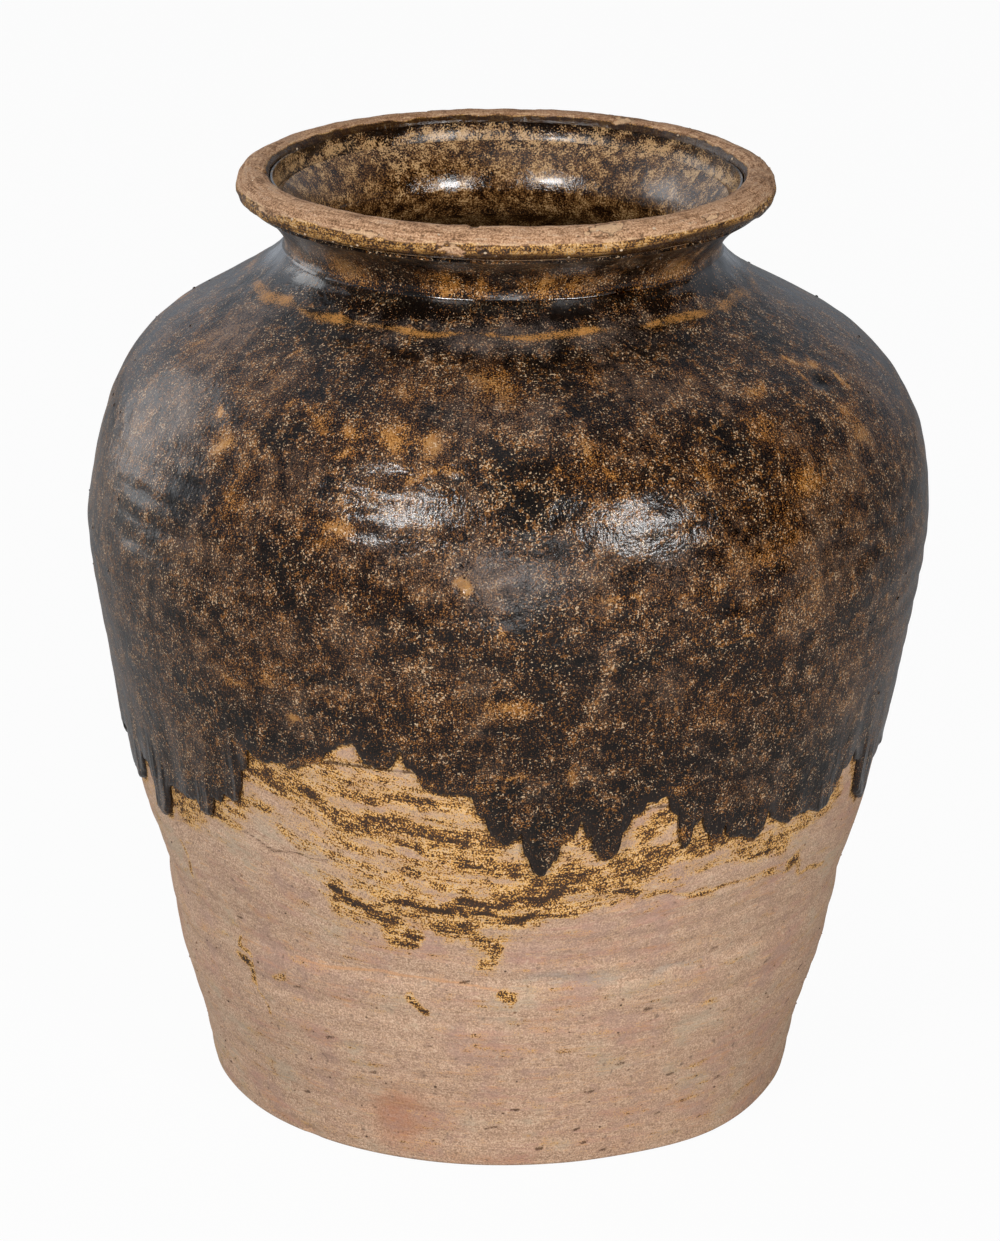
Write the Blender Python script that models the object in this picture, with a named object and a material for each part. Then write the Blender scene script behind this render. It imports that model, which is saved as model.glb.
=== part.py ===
"""Glazed stoneware storage pot with a narrow foot, a wide belly and a short flared neck.

The clay was made in sections that were luted one on the other: a slab for the base, two
thrown walls, a shoulder, a neck and a rolled rim. A brown glaze covers the outside down to
a ragged hem of runs, and a second coat lines the inside. Metres, +Z up, foot on Z = 0.
"""

import math

import bmesh
import bpy

# Heights, from the foot up
BELLY_HEIGHT = 0.205
SHOULDER_RISE = 0.0845
SADDLE_RISE = 0.0113
FLARE_RISE = 0.0167
RIM_RISE = 0.0118

# Outer radii of the clay
FOOT_RADIUS = 0.1040
BELLY_RADIUS = 0.1467
RIDGE_RADIUS = 0.0879

# The neck, from the ridge up: how far it is drawn in at the throat, how far its flare and
# then the rim stand out again, and how wide the rim is across its roll
NECK_DRAW = 0.0139
FLARE_SPREAD = 0.0138
RIM_OVERHANG = 0.0050
RIM_WIDTH = 0.0116

# Thickness of the clay and of the two coats of glaze
SLAB_THICKNESS = 0.0110
FOOT_WALL = 0.0100
BELLY_WALL = 0.0080
NECK_WALL = 0.0070
OUTER_COAT = 0.0009
INNER_COAT = 0.0007

# Fired joints: the line between two sections, the slope of the luted faces, and the
# distance between a coat and the clay under it
SEAM_GAP = 0.0003
SEAM_BEVEL = 0.0045
COAT_GAP = 0.0003

# Small forms
FOOT_EDGE = 0.0018
LOW_SEAM_HEIGHT = 0.0700
SEAM_RIDGE = 0.0010
SEAM_RIDGE_REACH = 0.0090
RIDGE_HEIGHT = 0.0009
RIDGE_REACH = 0.0030

# How far above and below a place its slope is measured
SLOPE_REACH = 0.0002

# How far the centre of the wall wanders to the right of the foot's centre
BELLY_DRIFT = 0.0013
SHOULDER_DRIFT = 0.0021
RIDGE_DRIFT = -0.0012
RIM_DRIFT = -0.0002

# Broad hollows that hands left in the soft wall
HAND_DEPTH = 0.0035
HAND_REACH = 0.0650

# Glaze hem: how far its middle is below the widest line, its slow rise and fall, and its runs
HEM_DROP = 0.0645
HEM_SWAY = 0.0230
HEM_BAND = 0.0420
RUN_LENGTH = 0.0260
RUN_WIDTH = 0.0130
RUN_BEAD = 0.0008

# Outline between foot and belly, and between belly and ridge: shares of the rise, with
# shares of the change of radius
FLANK_SHARES = ((0.09, 0.09), (0.25, 0.31), (0.37, 0.41), (0.53, 0.62), (0.74, 0.81), (0.91, 0.95))
SHOULDER_SHARES = ((0.16, 0.018), (0.33, 0.054), (0.49, 0.128), (0.64, 0.247), (0.77, 0.425), (0.89, 0.72))

# Section of the rolled rim, from the lip round the outside to the mouth: shares of the
# width between mouth and rim radius, with shares of the rim's rise
RIM_OUTLINE_SHARES = (
    (0.72, 0.02),
    (0.91, 0.10),
    (0.99, 0.28),
    (1.00, 0.46),
    (0.95, 0.68),
    (0.78, 0.87),
    (0.44, 1.00),
    (0.16, 0.93),
    (0.00, 0.72),
)

# Hollows, and one swelling at the foot: degrees to the right of the front, with shares of
# the pot's height and of the deepest hollow
HAND_SHARES = (
    (112, 0.86, 0.80),
    (-80, 0.24, 0.45),
    (-62, 0.46, 0.30),
    (44, 0.00, -0.60),
    (170, 0.55, 0.50),
)

# Level of the hem at places round the pot: degrees to the right of the front, with shares
# of the sway
HEM_LEVEL_SHARES = (
    (-180, 0.10),
    (-115, -0.45),
    (-70, -0.65),
    (-45, -0.10),
    (-24, 1.00),
    (0, 0.50),
    (20, 0.20),
    (45, -0.45),
    (75, -0.60),
    (130, 0.35),
)

# Glaze runs that hang below the hem: degrees to the right of the front, with shares of
# the longest run
RUN_SHARES = (
    (-159, 0.50),
    (-132, 0.30),
    (-111, 0.75),
    (-90, 0.25),
    (-66, 0.45),
    (-48, 0.45),
    (6, 1.00),
    (15, 0.75),
    (29, 0.60),
    (45, 0.25),
    (69, 0.40),
    (93, 0.30),
    (117, 0.65),
    (147, 0.40),
    (171, 0.80),
)

# Rows of the hem: shares of the way down its band, on the coat's face and against the clay
HEM_FACE_SHARES = (0.5, 0.9)
HEM_BACK_SHARES = (0.97, 0.5)

# Number of columns round the pot, and of rows up each section's outer and inner face
COLUMNS = 52
ROWS = {"lower_wall": (3, 3), "middle_wall": (6, 4), "shoulder_wall": (8, 6), "neck_collar": (5, 4)}
SAMPLES = 200

THROAT_RADIUS = RIDGE_RADIUS - NECK_DRAW
LIP_RADIUS = THROAT_RADIUS + FLARE_SPREAD
RIM_RADIUS = LIP_RADIUS + RIM_OVERHANG
MOUTH_RADIUS = RIM_RADIUS - RIM_WIDTH
HEM_LEVEL = BELLY_HEIGHT - HEM_DROP
RIDGE_LEVEL = BELLY_HEIGHT + SHOULDER_RISE
THROAT_LEVEL = RIDGE_LEVEL + SADDLE_RISE
LIP_LEVEL = THROAT_LEVEL + FLARE_RISE
POT_HEIGHT = LIP_LEVEL + RIM_RISE


def smooth_value(stations, at):
    """The value at one place of a smooth line through the stations, each a place and a value."""
    if at <= stations[0][0]:
        return stations[0][1]
    if at >= stations[-1][0]:
        return stations[-1][1]
    index = max(i for i, station in enumerate(stations) if station[0] <= at)
    start, end = stations[index], stations[index + 1]
    before = stations[max(index - 1, 0)]
    after = stations[min(index + 2, len(stations) - 1)]
    span = end[0] - start[0]
    slope_in = (end[1] - before[1]) / (end[0] - before[0])
    slope_out = (after[1] - start[1]) / (after[0] - start[0])
    u = (at - start[0]) / span
    return (
        start[1] * (1 + 2 * u) * (1 - u) ** 2
        + end[1] * u * u * (3 - 2 * u)
        + span * (slope_in * u * (1 - u) ** 2 - slope_out * u * u * (1 - u))
    )


def body_stations():
    """Heights and radii that the wall passes through, from the foot to the ridge below the neck."""
    stations = [(0, FOOT_RADIUS)]
    for rise, grow in FLANK_SHARES:
        stations.append((BELLY_HEIGHT * rise, FOOT_RADIUS + (BELLY_RADIUS - FOOT_RADIUS) * grow))
    stations.append((BELLY_HEIGHT, BELLY_RADIUS))
    for rise, shrink in SHOULDER_SHARES:
        radius = BELLY_RADIUS + (RIDGE_RADIUS - BELLY_RADIUS) * shrink
        stations.append((BELLY_HEIGHT + SHOULDER_RISE * rise, radius))
    stations.append((RIDGE_LEVEL, RIDGE_RADIUS))
    return stations


BODY = body_stations()


def swelling(height, centre, reach):
    """A rounded hump of height one, that reaches as far below its centre as above it."""
    share = abs(height - centre) / reach
    return (1 + math.cos(math.pi * share)) / 2 if share < 1 else 0


def outer_radius(height):
    """Outer radius of the clay at a height between the foot and the lip."""
    if height <= RIDGE_LEVEL:
        radius = smooth_value(BODY, height)
    elif height <= THROAT_LEVEL:
        radius = RIDGE_RADIUS + (THROAT_RADIUS - RIDGE_RADIUS) * (height - RIDGE_LEVEL) / SADDLE_RISE
    else:
        radius = THROAT_RADIUS + (LIP_RADIUS - THROAT_RADIUS) * ((height - THROAT_LEVEL) / FLARE_RISE) ** 2
    radius += SEAM_RIDGE * swelling(height, LOW_SEAM_HEIGHT, SEAM_RIDGE_REACH)
    return radius + RIDGE_HEIGHT * swelling(height, RIDGE_LEVEL, RIDGE_REACH)


def wall_at(height):
    """Thickness of the wall, which thins from the foot to the belly and on to the neck."""
    return smooth_value([(0, FOOT_WALL), (BELLY_HEIGHT, BELLY_WALL), (THROAT_LEVEL, NECK_WALL)], height)


def under_surface(height, depth):
    """The point at a depth below the outer surface, square to it. A coat has a negative depth."""
    slope = (outer_radius(height + SLOPE_REACH) - outer_radius(height - SLOPE_REACH)) / (2 * SLOPE_REACH)
    length = math.hypot(1, slope)
    return outer_radius(height) - depth / length, height + depth * slope / length


def inner_point(height, coat=0):
    """The point of the inner surface that faces the outer surface at this height, or of a coat on it."""
    return under_surface(height, wall_at(height) + coat)


def even_heights(start, end, count):
    """Heights from start to end that are evenly spaced along the curved wall."""
    heights = [start + (end - start) * i / SAMPLES for i in range(SAMPLES + 1)]
    travel = [0]
    for low, high in zip(heights, heights[1:]):
        travel.append(travel[-1] + math.hypot(high - low, outer_radius(high) - outer_radius(low)))
    rows = []
    for i in range(count + 1):
        wanted = travel[-1] * i / count
        nearest = min(range(SAMPLES + 1), key=lambda k: abs(travel[k] - wanted))
        rows.append(heights[nearest])
    return rows


def section_rows(name, start, end):
    """Rows of one section: heights for its outer face, and for the inner face that its bevels shift."""
    outer_count, inner_count = ROWS[name]
    low, high = start + SEAM_GAP / 2, end - SEAM_GAP / 2
    inner_low = low if name == "lower_wall" else low - SEAM_BEVEL
    return even_heights(low, high, outer_count), even_heights(inner_low, high - SEAM_BEVEL, inner_count)


SECTIONS = {
    "lower_wall": section_rows("lower_wall", SLAB_THICKNESS, LOW_SEAM_HEIGHT),
    "middle_wall": section_rows("middle_wall", LOW_SEAM_HEIGHT, BELLY_HEIGHT),
    "shoulder_wall": section_rows("shoulder_wall", BELLY_HEIGHT, RIDGE_LEVEL),
    "neck_collar": section_rows("neck_collar", RIDGE_LEVEL, LIP_LEVEL),
}


def drift_at(height):
    """Sideways place of the wall's centre at a height."""
    stations = [
        (0, 0),
        (LOW_SEAM_HEIGHT, 0),
        (BELLY_HEIGHT, BELLY_DRIFT),
        (BELLY_HEIGHT + SHOULDER_RISE / 2, SHOULDER_DRIFT),
        (RIDGE_LEVEL, RIDGE_DRIFT),
        (POT_HEIGHT, RIM_DRIFT),
    ]
    return smooth_value(stations, height)


def turn_between(degrees, place):
    """The smaller angle between two directions round the pot."""
    turn = abs(degrees - place) % 360
    return min(turn, 360 - turn)


def hand_hollow(height, degrees):
    """How far the hands pressed the wall in at a place."""
    depth = 0
    for place, share, deep in HAND_SHARES:
        along = BELLY_RADIUS * math.radians(turn_between(degrees, place))
        away = math.hypot(along, height - POT_HEIGHT * share)
        depth += HAND_DEPTH * deep * swelling(away, 0, HAND_REACH)
    return depth


def on_pot(radius, height, degrees):
    """World place of a point by its radius, its height and its angle to the right of the front."""
    angle = math.radians(degrees)
    radius -= hand_hollow(height, degrees) * min(radius / THROAT_RADIUS, 1)
    return (radius * math.sin(angle) + drift_at(height), -radius * math.cos(angle), height)


def hoop(bm, columns, place):
    """A closed hoop of vertices. The place function gives a radius and a height for an angle."""
    step = 360 / columns
    return [bm.verts.new(on_pot(*place(i * step), i * step)) for i in range(columns)]


def plain_hoop(bm, point):
    return hoop(bm, COLUMNS, lambda degrees: point)


def bridge(bm, first, second):
    """Faces between two hoops that have as many vertices, or of which one has twice as many."""
    if len(first) > len(second):
        first, second = second, first
    count = len(first)
    for i in range(count):
        a, b = first[i], first[(i + 1) % count]
        if len(second) == count:
            bm.faces.new((a, b, second[(i + 1) % count], second[i]))
            continue
        left, middle, right = (second[(2 * i + k) % len(second)] for k in range(3))
        bm.faces.new((a, middle, left))
        bm.faces.new((a, b, middle))
        bm.faces.new((b, right, middle))


def stoneware(name, colour, roughness):
    material = bpy.data.materials.new(name)
    material.use_nodes = True
    shader = material.node_tree.nodes["Principled BSDF"]
    shader.inputs["Base Color"].default_value = (*colour, 1)
    shader.inputs["Roughness"].default_value = roughness
    shader.inputs["Metallic"].default_value = 0
    return material


def finish(bm, name, material):
    """Makes the named object of a finished shape, shaded smooth with its sharp edges kept."""
    bmesh.ops.recalc_face_normals(bm, faces=bm.faces)
    mesh = bpy.data.meshes.new(name)
    bm.to_mesh(mesh)
    bm.free()
    mesh.materials.append(material)
    mesh.shade_smooth()
    mesh.set_sharp_from_angle(angle=math.radians(40))
    piece = bpy.data.objects.new(name, mesh)
    bpy.context.scene.collection.objects.link(piece)
    return piece


def ring_piece(name, points, material):
    """A ring turned from a closed outline of radii and heights."""
    bm = bmesh.new()
    hoops = [plain_hoop(bm, point) for point in points]
    for first, second in zip(hoops, hoops[1:] + hoops[:1]):
        bridge(bm, first, second)
    return finish(bm, name, material)


def cup_piece(name, points, material):
    """A turned shape whose outline starts and ends in the middle of the pot."""
    bm = bmesh.new()
    hoops = [plain_hoop(bm, point) for point in points[1:-1]]
    for first, second in zip(hoops, hoops[1:]):
        bridge(bm, first, second)
    for rim, (_, height) in ((hoops[0], points[0]), (hoops[-1], points[-1])):
        centre = bm.verts.new((drift_at(height), 0, height))
        for i in range(COLUMNS):
            bm.faces.new((rim[i], rim[(i + 1) % COLUMNS], centre))
    return finish(bm, name, material)


def base_slab(material):
    """The round slab that the pot stands on, with a softened lower edge."""
    corner = math.radians(45)
    softened = FOOT_EDGE * (1 - math.sin(corner))
    outline = [
        (0, 0),
        (FOOT_RADIUS - FOOT_EDGE, 0),
        (FOOT_RADIUS - softened, softened),
        (outer_radius(FOOT_EDGE), FOOT_EDGE),
        (outer_radius(SLAB_THICKNESS), SLAB_THICKNESS - SEAM_GAP / 2),
        (0, SLAB_THICKNESS - SEAM_GAP / 2),
    ]
    return cup_piece("base_slab", outline, material)


def wall_section(name, material):
    """One section of the wall between two luted seams."""
    outer, inner = SECTIONS[name]
    faces = [inner_point(height) for height in reversed(inner)]
    if name == "lower_wall":
        faces[-1] = (inner_point(inner[0])[0], SLAB_THICKNESS + SEAM_GAP / 2)
    outside = [(outer_radius(height), height) for height in outer]
    return ring_piece(name, outside + faces, material)


def rim_outline():
    """Closed outline of the rolled rim, from its seat on the lip round to the inside of the neck."""
    seat_outer = (LIP_RADIUS, LIP_LEVEL + SEAM_GAP / 2)
    inner_seat = LIP_LEVEL + SEAM_GAP / 2 - SEAM_BEVEL
    roll = [(MOUTH_RADIUS + RIM_WIDTH * x, LIP_LEVEL + SEAM_GAP / 2 + (RIM_RISE - SEAM_GAP / 2) * y)
            for x, y in RIM_OUTLINE_SHARES]
    return [seat_outer] + roll + [inner_point(inner_seat)]


def rim_roll(material):
    return ring_piece("rim_roll", rim_outline(), material)


def hem_at(degrees):
    """Height of the glaze's lower edge, with its slow sway and the runs that hang from it."""
    degrees = (degrees + 180) % 360 - 180
    levels = list(HEM_LEVEL_SHARES) + [(180, HEM_LEVEL_SHARES[0][1])]
    height = HEM_LEVEL + HEM_SWAY * smooth_value(levels, degrees)
    run_reach = math.degrees(RUN_WIDTH / FOOT_RADIUS)
    for place, share in RUN_SHARES:
        height -= RUN_LENGTH * share * swelling(turn_between(degrees, place), 0, run_reach)
    return height


def hem_hoop(bm, share, depth):
    """A hoop in the hem's band, at a share of the way down from the band's top to the hem."""
    top = HEM_LEVEL + HEM_BAND

    def place(degrees):
        return under_surface(top + (hem_at(degrees) - top) * share, depth)

    return hoop(bm, 2 * COLUMNS, place)


def outer_glaze(material):
    """The brown coat: a thin shell from under the rim down to its ragged hem, thick at the runs."""
    top = HEM_LEVEL + HEM_BAND
    rows = [top] + [z for z in SECTIONS["middle_wall"][0] if z > top + SEAM_BEVEL][:-1]
    rows += SECTIONS["shoulder_wall"][0][:-1] + SECTIONS["neck_collar"][0]
    rows[-1] -= COAT_GAP
    face = -COAT_GAP - OUTER_COAT
    bm = bmesh.new()
    hoops = [plain_hoop(bm, under_surface(height, face)) for height in reversed(rows)]
    upper, bead = HEM_FACE_SHARES
    hoops += [hem_hoop(bm, upper, face), hem_hoop(bm, bead, face - RUN_BEAD), hem_hoop(bm, 1, face / 2)]
    hoops += [hem_hoop(bm, share, -COAT_GAP) for share in HEM_BACK_SHARES]
    hoops += [plain_hoop(bm, under_surface(height, -COAT_GAP)) for height in rows]
    for first, second in zip(hoops, hoops[1:] + hoops[:1]):
        bridge(bm, first, second)
    return finish(bm, "outer_glaze", material)


def inner_glaze(material):
    """The coat that lines the inside, from the edge of the mouth down and across the floor."""
    floor = SLAB_THICKNESS - SEAM_GAP / 2
    rows = [z for name in SECTIONS for z in SECTIONS[name][1][1:]]
    mouth = LIP_LEVEL + RIM_RISE * RIM_OUTLINE_SHARES[-1][1] - COAT_GAP

    def lining(depth):
        side = [inner_point(height, depth) for height in rows]
        corner = (inner_point(SLAB_THICKNESS, depth)[0], floor + depth)
        edge = (MOUTH_RADIUS - depth, mouth)
        return [(0, floor + depth), corner] + side + [edge]

    outline = lining(COAT_GAP) + lining(COAT_GAP + INNER_COAT)[::-1]
    return cup_piece("inner_glaze", outline, material)


def build():
    for old in list(bpy.data.objects):
        bpy.data.objects.remove(old)
    bare_clay = stoneware("bare_stoneware", (0.42, 0.27, 0.18), 0.85)
    base_slab(stoneware("slab_stoneware", (0.38, 0.24, 0.16), 0.88))
    wall_section("lower_wall", bare_clay)
    wall_section("middle_wall", stoneware("washed_stoneware", (0.44, 0.27, 0.14), 0.80))
    wall_section("shoulder_wall", stoneware("shoulder_stoneware", (0.40, 0.26, 0.17), 0.85))
    wall_section("neck_collar", stoneware("neck_stoneware", (0.36, 0.23, 0.15), 0.85))
    rim_roll(stoneware("rim_stoneware", (0.34, 0.21, 0.13), 0.75))
    outer_glaze(stoneware("iron_brown_glaze", (0.045, 0.024, 0.014), 0.18))
    inner_glaze(stoneware("lining_glaze", (0.07, 0.04, 0.02), 0.25))


build()
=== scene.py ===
"""Looks of a glazed stoneware storage pot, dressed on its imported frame.

The pot was thrown in sections from a coarse pinkish-buff stoneware. A dark iron-brown glaze was
poured over it, ran down to a ragged hem and left a thin ochre wash on the clay below. Each piece
here stands for one node of the frame and follows the frame's turned outline, with the potter's
unevenness added. Lengths are in millimetres until a mesh is made. +Z is up, the front faces -Y.
"""

import math

import bpy
import numpy as np
from mathutils import Matrix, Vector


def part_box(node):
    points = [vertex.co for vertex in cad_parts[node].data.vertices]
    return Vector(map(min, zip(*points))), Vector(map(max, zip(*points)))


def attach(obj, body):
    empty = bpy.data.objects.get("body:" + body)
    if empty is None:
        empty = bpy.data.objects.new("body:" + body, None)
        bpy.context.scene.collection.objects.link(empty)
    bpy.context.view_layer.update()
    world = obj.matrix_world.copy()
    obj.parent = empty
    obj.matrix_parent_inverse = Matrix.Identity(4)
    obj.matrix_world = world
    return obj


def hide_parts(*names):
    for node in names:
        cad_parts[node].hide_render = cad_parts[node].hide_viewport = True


MM = 0.001

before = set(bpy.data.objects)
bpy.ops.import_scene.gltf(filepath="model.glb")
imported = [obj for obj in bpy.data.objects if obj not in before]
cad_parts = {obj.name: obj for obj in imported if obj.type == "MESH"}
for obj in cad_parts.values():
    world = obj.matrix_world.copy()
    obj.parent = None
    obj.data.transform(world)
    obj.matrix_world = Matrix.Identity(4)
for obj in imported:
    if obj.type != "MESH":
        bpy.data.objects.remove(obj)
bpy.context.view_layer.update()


def top_of(node):
    """Height of a frame node's upper end."""
    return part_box(node)[1].z / MM


# Levels where one section of clay meets the next
SLAB_TOP = top_of("base_slab")
LOW_SEAM = top_of("lower_wall")
BELLY = top_of("middle_wall")
RIDGE = top_of("shoulder_wall")
LIP = top_of("neck_collar")
RIM_TOP = top_of("rim_roll")

# The turned outline of the clay: height and radius
BODY_LINE = (
    (0, 104), (18.45, 107.84), (51.25, 117.24), (75.85, 121.51), (108.65, 130.47), (151.7, 138.59),
    (186.55, 144.57), (205, 146.7), (218.52, 145.64), (232.89, 143.52), (246.41, 139.17),
    (259.08, 132.18), (270.07, 121.71), (280.21, 104.36), (289.5, 87.9),
)
THROAT_LEVEL = 300.8
THROAT_RADIUS = 74.0
LIP_RADIUS = 87.8
MOUTH_RADIUS = 81.2
RIM_WIDTH = 11.6

# What stands out from that line, the luted seam and the ridge under the neck: how far, and how
# far up and down
SEAM_RIDGE = 1.0
SEAM_REACH = 9.0
RIDGE_HEIGHT = 0.9
RIDGE_REACH = 3.0

# The wall's thickness, and how far the pot drifts to the right, each at a height
WALL_LINE = ((0, 10.0), (205, 8.0), (300.8, 7.0))
DRIFT_LINE = ((0, 0), (70, 0), (205, 1.3), (247.25, 2.1), (289.5, -1.2), (329.3, -0.2))

# Hollows that hands left in the wall, and how far each reaches: degrees to the right of the
# front, height, depth. One below 0 is a bulge.
HAND_HOLLOWS = (
    (112, 283.2, 2.8), (-80, 79, 1.575), (-62, 151.5, 1.05), (44, 0, -2.1), (170, 181.1, 1.75),
)
HAND_REACH = 65.0

# Section of the rim's roll, from the lip round the outside to the mouth: shares of its width
# and of its rise
ROLL_LINE = (
    (0.57, 0), (0.76, 0.03), (0.91, 0.10), (0.99, 0.28), (1, 0.46), (0.95, 0.68), (0.78, 0.87),
    (0.44, 1), (0.16, 0.93), (0, 0.72),
)

# How thick the coats of glaze are. The outer coat's back is sunk in the clay, the lining stands
# a little off it, and what is outermost keeps a clearance inside the frame's box.
GLAZE_COAT = 1.2
LINING_COAT = 1.0
SUNK = 0.15
LINING_GAP = 0.3
CLEARANCE = 0.05

# The outer coat's lower edge: how wide it is rounded, how much thicker the beads of its runs are,
# how far up they fade and how blunt the tips are. The coat also fills the crease at the throat.
HEM_ROUND = 1.5
RUN_BEAD = 1.3
BEAD_FADE = 9.0
TIP_ROUND = 2.8
POOL_FILL = 1.0

# Levels where one stretch of the outer coat meets the next, and where it ends
SKIRT_TOP = 184.0
COAT_SPLIT = 256.0
COAT_TOP = LIP - 0.3

# Heights whose girth turns an angle into a distance, for the strokes and for the hem
WASH_LEVEL = 124.0
HEM_LEVEL = 140.0

# A distance from the hem that is beyond all that it does
FAR = 99.0

# How far apart the rows of the wall's mesh are: on clay that shows, on clay that glaze covers,
# and on a section that is covered all over
SHOWN_ROWS = 0.85
COVERED_ROWS = 4
HIDDEN_ROWS = 2.5

# How many waves make a random swell, and how many degrees a face may turn and still be shaded
# smooth
SWELL_WAVES = 22
SHARP_ANGLE = 60

# The ragged lower edge of the glaze: degrees to the right of the front, height
HEM_LINE = (
    (-180, 143), (-166, 140), (-159, 127), (-152, 136), (-140, 134), (-132, 125.5), (-125, 131),
    (-118, 129), (-111, 111.5), (-105, 128), (-97, 128), (-90, 122), (-84, 129), (-78, 128),
    (-73, 118), (-69, 131), (-66, 129), (-63, 113), (-59, 126), (-54, 127), (-51, 127),
    (-48.5, 123.5), (-46.5, 132), (-44, 135), (-42, 133.5), (-39.5, 147), (-37.6, 155.5),
    (-34, 153.5), (-31, 153.5), (-28, 156), (-24.5, 162), (-22.5, 166), (-20.5, 167), (-18.2, 160),
    (-16, 159.5), (-14, 165), (-12, 159), (-10, 153), (-8, 150), (-6, 151), (-4.4, 151),
    (-2.6, 142), (-1, 135), (0.4, 133), (2.4, 136), (3.3, 127), (5.4, 121), (7.2, 126), (8.2, 133),
    (10.8, 141), (12.2, 134), (13.1, 128.5), (14.5, 125.5), (15.8, 128.5), (16.6, 135), (18, 142),
    (20, 146), (23, 147), (25, 140), (26.5, 127), (27.6, 134), (29, 138), (30.4, 130), (31.5, 124),
    (33, 132), (34.6, 126), (36.5, 125), (39.5, 124), (41, 133), (43, 128), (45.6, 125), (48, 128),
    (51, 126), (54, 124), (56.4, 129), (58, 136), (61.6, 141), (64, 134), (66, 121), (68.8, 117.6),
    (71, 128), (74, 135), (78, 130), (81, 128), (84, 134), (87, 131), (93, 122), (99, 133),
    (106, 138), (111, 136), (117, 125), (123, 146), (131, 150), (139, 147), (147, 136), (154, 146),
    (163, 143), (171, 122.5), (177, 140), (180, 143),
)

# The lower edge of the thin ochre wash below it
WASH_LINE = (
    (-180, 118), (-150, 104), (-120, 98), (-95, 112), (-75, 108), (-55, 117), (-46, 122),
    (-39, 133), (-32, 121), (-26, 107), (-20, 99), (-14, 92), (-9, 95), (-2.7, 86), (3.7, 100),
    (10.5, 101), (16, 107), (23, 108), (31, 112), (35, 121), (39, 150), (60, 150), (75, 140),
    (100, 104), (130, 120), (160, 110), (180, 118),
)

# Brushed and poured marks in the wash: half width, strength, and the path that each follows
WASH_STROKES = (
    (8, 0.55, ((-38.5, 150), (-30, 144), (-22, 137), (-10, 134), (-3, 128))),
    (7, 0.54, ((-24, 104.5), (-12, 103), (0, 106), (10, 108))),
    (8, 0.54, ((4, 122), (14, 118), (24, 122), (30, 130))),
    (7, 0.5, ((-66, 122), (-56, 122), (-50, 124), (-44, 128))),
    (6, 0.5, ((36, 119), (46, 119), (58, 126))),
    (4.2, 0.78, (
        (-37.9, 148.4), (-30.3, 144.3), (-24.4, 138.7), (-18.5, 137.8), (-10.4, 136.9),
        (-6.5, 132.2),
    )),
    (3, 0.55, ((-20.3, 146.8), (-14.2, 146.6), (-4.5, 147.4))),
    (3.5, 0.7, ((-13.9, 130.6), (-8.9, 128.3), (-2.5, 124), (4, 119.2))),
    (2.2, 0.5, ((-49.6, 128.7), (-43.4, 128.7), (-39.2, 136.2), (-35, 132.7))),
    (3, 0.88, ((-25.8, 108.1), (-19.5, 105.2), (-13, 105.6), (-2.4, 108.6), (8.5, 112.3))),
    (4, 0.85, ((-19.8, 101.8), (-17.4, 98), (-14, 92.7))),
    (4.6, 0.68, ((-9, 98), (-4.7, 100.9), (-1.5, 87.4))),
    (1.7, 0.9, ((-6.1, 105.9), (2.1, 105.1), (10.5, 102.7))),
    (4.2, 0.74, ((-0.2, 111.2), (6, 117.1), (11.9, 118.2))),
    (4.6, 0.7, ((4, 119.2), (8.4, 114.8), (13.9, 121.8))),
    (2.6, 0.7, ((16.3, 125.2), (22.6, 119.9), (19.4, 116.4))),
    (1.6, 0.75, ((14.5, 112.1), (20.7, 110.3))),
    (1.4, 0.45, ((22.5, 108.6), (33.2, 106.7), (48, 105.1), (61, 96.4))),
    (4.4, 0.62, ((19.2, 132.1), (23.7, 138.1), (29, 134.8))),
    (3, 0.6, ((17.7, 126.7), (21.8, 126.3), (25.7, 124.7))),
    (2, 0.6, ((32.4, 129.1), (34.5, 125.2))),
    (2.6, 0.8, ((42.3, 121.6), (42.8, 116.8))),
    (2.8, 0.8, ((49.7, 108.6), (49.9, 104.5))),
    (2.2, 0.45, ((61.9, 138.3), (66.3, 121))),
    (1.3, 0.5, ((-53.5, 138.3), (-50.8, 126.9))),
    (1.3, 0.55, ((-58.9, 135.2), (-61.3, 122.9))),
    (2.2, 0.85, ((-47.6, 67.4), (-45.9, 62.3))),
    (1.3, 0.5, ((-58.7, 105), (-57.9, 92))),
    (1.4, 0.5, ((-39.5, 67.6), (-37.4, 66.8))),
    (0.8, 0.6, ((-46.9, 75.1), (-45, 58.6), (-42.7, 50.3))),
    (2.2, 0.78, ((-14.9, 69.5), (-12.4, 65.4))),
    (2.3, 0.8, ((-0.2, 72.2), (1.7, 70.2))),
    (2, 0.8, ((-118, 118), (-108, 104), (-96, 106))),
    (2.4, 0.7, ((100, 122), (118, 112), (131, 116))),
    (2.2, 0.9, ((150, 128), (166, 114), (178, 112))),
    (2.6, 0.7, ((-172, 124), (-158, 112), (-140, 110))),
)

# How the sweeps of the wash climb and fall: degrees, height
SWEEP_LINE = (
    (-180, 0), (-120, 8), (-70, 4), (-55, 14), (-40, 12), (-20, 0), (-5, -5), (10, -5), (25, 2),
    (45, 6), (70, 0), (120, -8), (180, 0),
)

# Dark scratches in the wash and the clay, in the same form as the strokes
WASH_SCRATCHES = (
    (0.9, 0.9, ((-37, 153.3), (-24.6, 158.3), (-18.4, 158.6), (-12.2, 157.8))),
    (0.9, 0.9, ((18.2, 142.6), (21.2, 143.6), (26.4, 142.2))),
    (0.8, 0.55, ((-32, 128.5), (-26, 121.5), (-21, 119))),
    (0.7, 0.75, ((-41.5, 123.5), (-36, 119.5), (-30.4, 119.5), (-26.2, 120.1))),
    (0.7, 0.8, ((-2.7, 15.4), (-0.1, 16.4))),
)

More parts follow.
